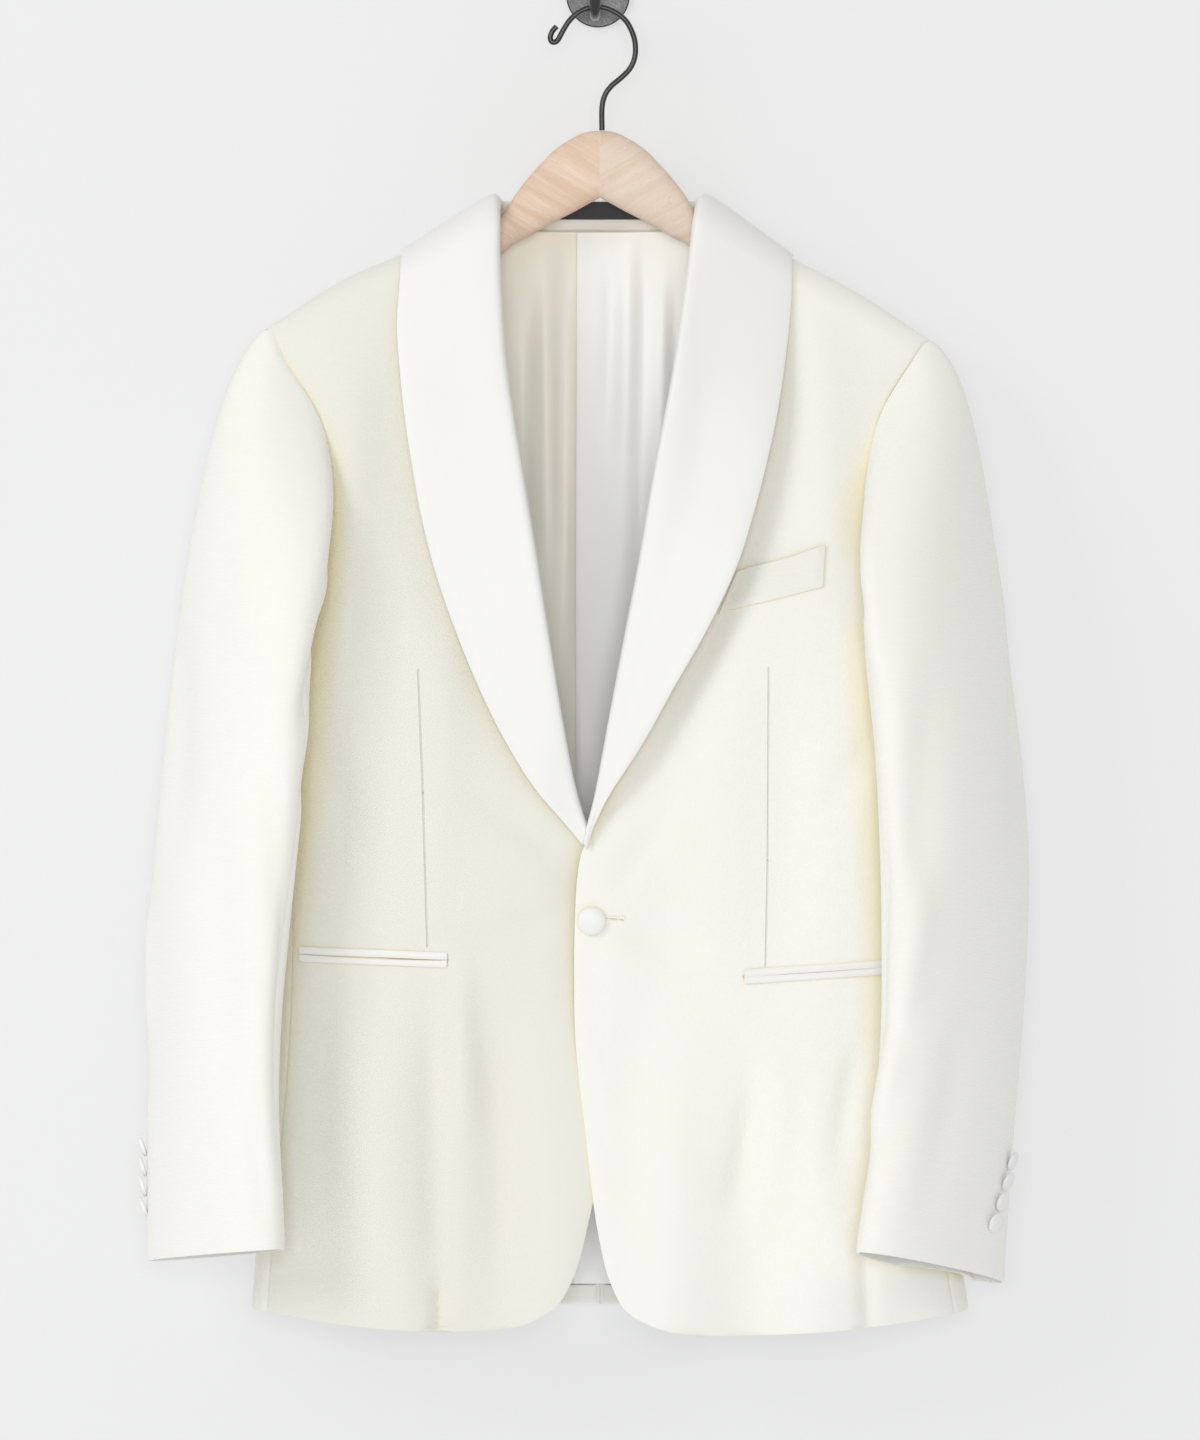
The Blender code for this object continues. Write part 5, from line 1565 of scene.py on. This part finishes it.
class JACKET_OT_sides(bpy.types.Operator):
    """Make the panels under the arms"""
    bl_idname = "jacket.sides"
    bl_label = "Side panels"

    def execute(self, context):
        for label, side in SIDES.items():
            stand_for(side_panel(label, side, finish_of("wool_" + label)))
        return {"FINISHED"}


class JACKET_OT_backs(bpy.types.Operator):
    """Make both halves of the back, with the hem turned up inside"""
    bl_idname = "jacket.backs"
    bl_label = "Back"

    def execute(self, context):
        for label, side in SIDES.items():
            turned_up = stand_for(hem(label, side, finish_of("wool")))
            panel = stand_for(back(label, side, finish_of("wool")))
        return {"FINISHED"}


class JACKET_OT_collar(bpy.types.Operator):
    """Make the satin shawl collar, from the button round the back of the neck"""
    bl_idname = "jacket.collar"
    bl_label = "Shawl collar"

    def execute(self, context):
        for label, side in SIDES.items():
            stand_for(shawl(label, side, finish_of("satin")))
        return {"FINISHED"}


class JACKET_OT_inside(bpy.types.Operator):
    """Make what shows inside the back: the lining, the neck facing and a bare label"""
    bl_idname = "jacket.inside"
    bl_label = "Inside of the back"

    def execute(self, context):
        tag = stand_for(back_band(
            "neck_label", finish_of("label"), (-0.036, 0.030), (0.0198, 0.0073), -0.0042,
            thick=0.0006, bow=0.35))
        facing = stand_for(back_band(
            "neck_facing", finish_of("lining_left"), (-0.045, 0.045), (0.0080, -0.0015), 0.0,
            thick=0.0014, bow=1.0))
        for label, side in SIDES.items():
            half = stand_for(lining(label, side, finish_of("lining_" + label)))
        return {"FINISHED"}


class JACKET_OT_sleeves(bpy.types.Operator):
    """Make both sleeves, each of a top and an under piece, with their cuff buttons"""
    bl_idname = "jacket.sleeves"
    bl_label = "Sleeves"

    def execute(self, context):
        for label, side in SIDES.items():
            top, under = (
                stand_for(piece) for piece in sleeve(label, side, finish_of("wool")))
            buttons = [
                stand_for(button)
                for button in cuff_buttons(label, side, finish_of("satin"), jacket().cuff_button)]
        return {"FINISHED"}


class JACKET_OT_hanger(bpy.types.Operator):
    """Make the beech hanger and its wire hook"""
    bl_idname = "jacket.hanger"
    bl_label = "Hanger"

    def execute(self, context):
        for label, side in SIDES.items():
            stand_for(hanger(label, side, finish_of("beech_" + label)))
        stand_for(hanger_hook(finish_of("black_metal")))
        return {"FINISHED"}


class JACKET_OT_wall_hook(bpy.types.Operator):
    """Make the wall plate and the peg that carries the hanger"""
    bl_idname = "jacket.wall_hook"
    bl_label = "Wall hook"

    def execute(self, context):
        for piece in wall_hook(finish_of("black_metal")):
            stand_for(piece)
        return {"FINISHED"}


# ---- Stage ------------------------------------------------------------------
FRAME_CENTRE = Vector((0.0014, -0.098, -0.5131))
FRAME_TALL = 1.008
STAGE_WIDE = 9.0
WALL_BEHIND = 0.0006
WALL_GLOW = 0.48
FLOOR_AT = -1.25
LIT_SPOT = Vector((0.0, -0.1, -0.5))
ROOM_LIGHT = (1.0, 0.99, 0.905, 1.0)
KEY_LIGHT = {"size": (1.6, 2.0), "spot": (-3.0, -3.0, 1.2), "colour": (1.0, 0.995, 1.0)}
FRONT_LIGHT = {"size": (2.5, 2.0), "spot": (0.0, -8.6, 0.0), "colour": (0.985, 0.992, 1.0)}
SENSOR = 36.0


def stage_sheet(name, matrix, look):
    """A wide square of the stage."""
    bm = bmesh.new()
    bmesh.ops.create_grid(bm, x_segments=1, y_segments=1, size=STAGE_WIDE / 2, matrix=matrix)
    mesh = bpy.data.meshes.new(name)
    bm.to_mesh(mesh)
    bm.free()
    mesh.materials.append(look)
    thing = bpy.data.objects.new(name, mesh)
    bpy.context.scene.collection.objects.link(thing)


def backdrop_finish(tone):
    """Pale paper lit from behind too, clear from behind."""
    material, tree, shader = principled(
        "backdrop", Base_Color=(tone * 0.995, tone, tone * 1.03, 1.0), Roughness=0.95,
        Specular_IOR_Level=0.1, Emission_Color=WHITE, Emission_Strength=WALL_GLOW)
    behind = add_node(tree, "ShaderNodeNewGeometry").outputs["Backfacing"]
    clear = add_node(tree, "ShaderNodeBsdfTransparent").outputs[0]
    mix = add_node(tree, "ShaderNodeMixShader", {0: behind, 1: shader.outputs[0], 2: clear})
    link(tree, mix.outputs[0], tree.nodes["Material Output"].inputs["Surface"])
    return material


def light(name, energy, size, spot, colour):
    """A soft light that looks at the middle of the jacket."""
    data = bpy.data.lights.new(name, "AREA")
    data.color = colour
    data.shape = "RECTANGLE"
    data.size, data.size_y = size
    data.energy = energy
    thing = bpy.data.objects.new(name, data)
    bpy.context.scene.collection.objects.link(thing)
    thing.location = spot
    thing.rotation_euler = (LIT_SPOT - Vector(spot)).to_track_quat("-Z", "Y").to_euler()


class JACKET_OT_stage(bpy.types.Operator):
    """Make the pale wall and floor, the soft light and the camera"""
    bl_idname = "jacket.stage"
    bl_label = "Stage"

    def execute(self, context):
        now = context.scene.jacket_stage
        paint = backdrop_finish(now.wall_tone)
        upright = Matrix.Rotation(math.radians(90), 4, "X")
        stage_sheet("wall", Matrix.Translation((0.0, WALL_BEHIND, 0.0)) @ upright, paint)
        stage_sheet("floor", Matrix.Translation((0.0, 0.0, FLOOR_AT)), paint)
        light("key_light", now.key, **KEY_LIGHT)
        light("front_light", now.front, **FRONT_LIGHT)
        world = bpy.data.worlds.new("studio")
        world.use_nodes = True
        air = world.node_tree.nodes["Background"]
        air.inputs["Color"].default_value = ROOM_LIGHT
        air.inputs["Strength"].default_value = now.fill
        context.scene.world = world
        lens = bpy.data.cameras.new("camera")
        lens.sensor_fit = "AUTO"
        lens.sensor_width = SENSOR
        lens.lens = SENSOR * now.distance / FRAME_TALL
        lens.clip_end = 60.0
        camera = bpy.data.objects.new("camera", lens)
        context.scene.collection.objects.link(camera)
        camera.location = FRAME_CENTRE - Vector((0.0, now.distance, 0.0))
        camera.rotation_euler = (math.radians(90), 0.0, 0.0)
        context.scene.camera = camera
        context.scene.view_settings.view_transform = "Standard"
        return {"FINISHED"}


STEPS = (
    JACKET_OT_fronts, JACKET_OT_sides, JACKET_OT_backs, JACKET_OT_collar, JACKET_OT_inside,
    JACKET_OT_sleeves, JACKET_OT_hanger, JACKET_OT_wall_hook, JACKET_OT_stage)


class JACKET_PT_panel(bpy.types.Panel):
    bl_idname = "JACKET_PT_panel"
    bl_label = "Dinner jacket"
    bl_space_type = "VIEW_3D"
    bl_region_type = "UI"
    bl_category = "Jacket"

    def draw(self, context):
        for settings in (context.scene.jacket, context.scene.jacket_stage):
            for name in settings.bl_rna.properties.keys():
                if name not in ("rna_type", "name"):
                    self.layout.prop(settings, name)
        for made in STEPS:
            self.layout.operator(made.bl_idname)


CLASSES = (JacketSettings, StageSettings, *STEPS, JACKET_PT_panel)


def register():
    for made in CLASSES:
        bpy.utils.register_class(made)
    bpy.types.Scene.jacket = bpy.props.PointerProperty(type=JacketSettings)
    bpy.types.Scene.jacket_stage = bpy.props.PointerProperty(type=StageSettings)


def unregister():
    del bpy.types.Scene.jacket
    del bpy.types.Scene.jacket_stage
    for made in reversed(CLASSES):
        bpy.utils.unregister_class(made)


def main():
    """Register the settings and operators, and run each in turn."""
    register()
    for made in STEPS:
        family, name = made.bl_idname.split(".")
        getattr(getattr(bpy.ops, family), name)()


if __name__ == "__main__":
    main()
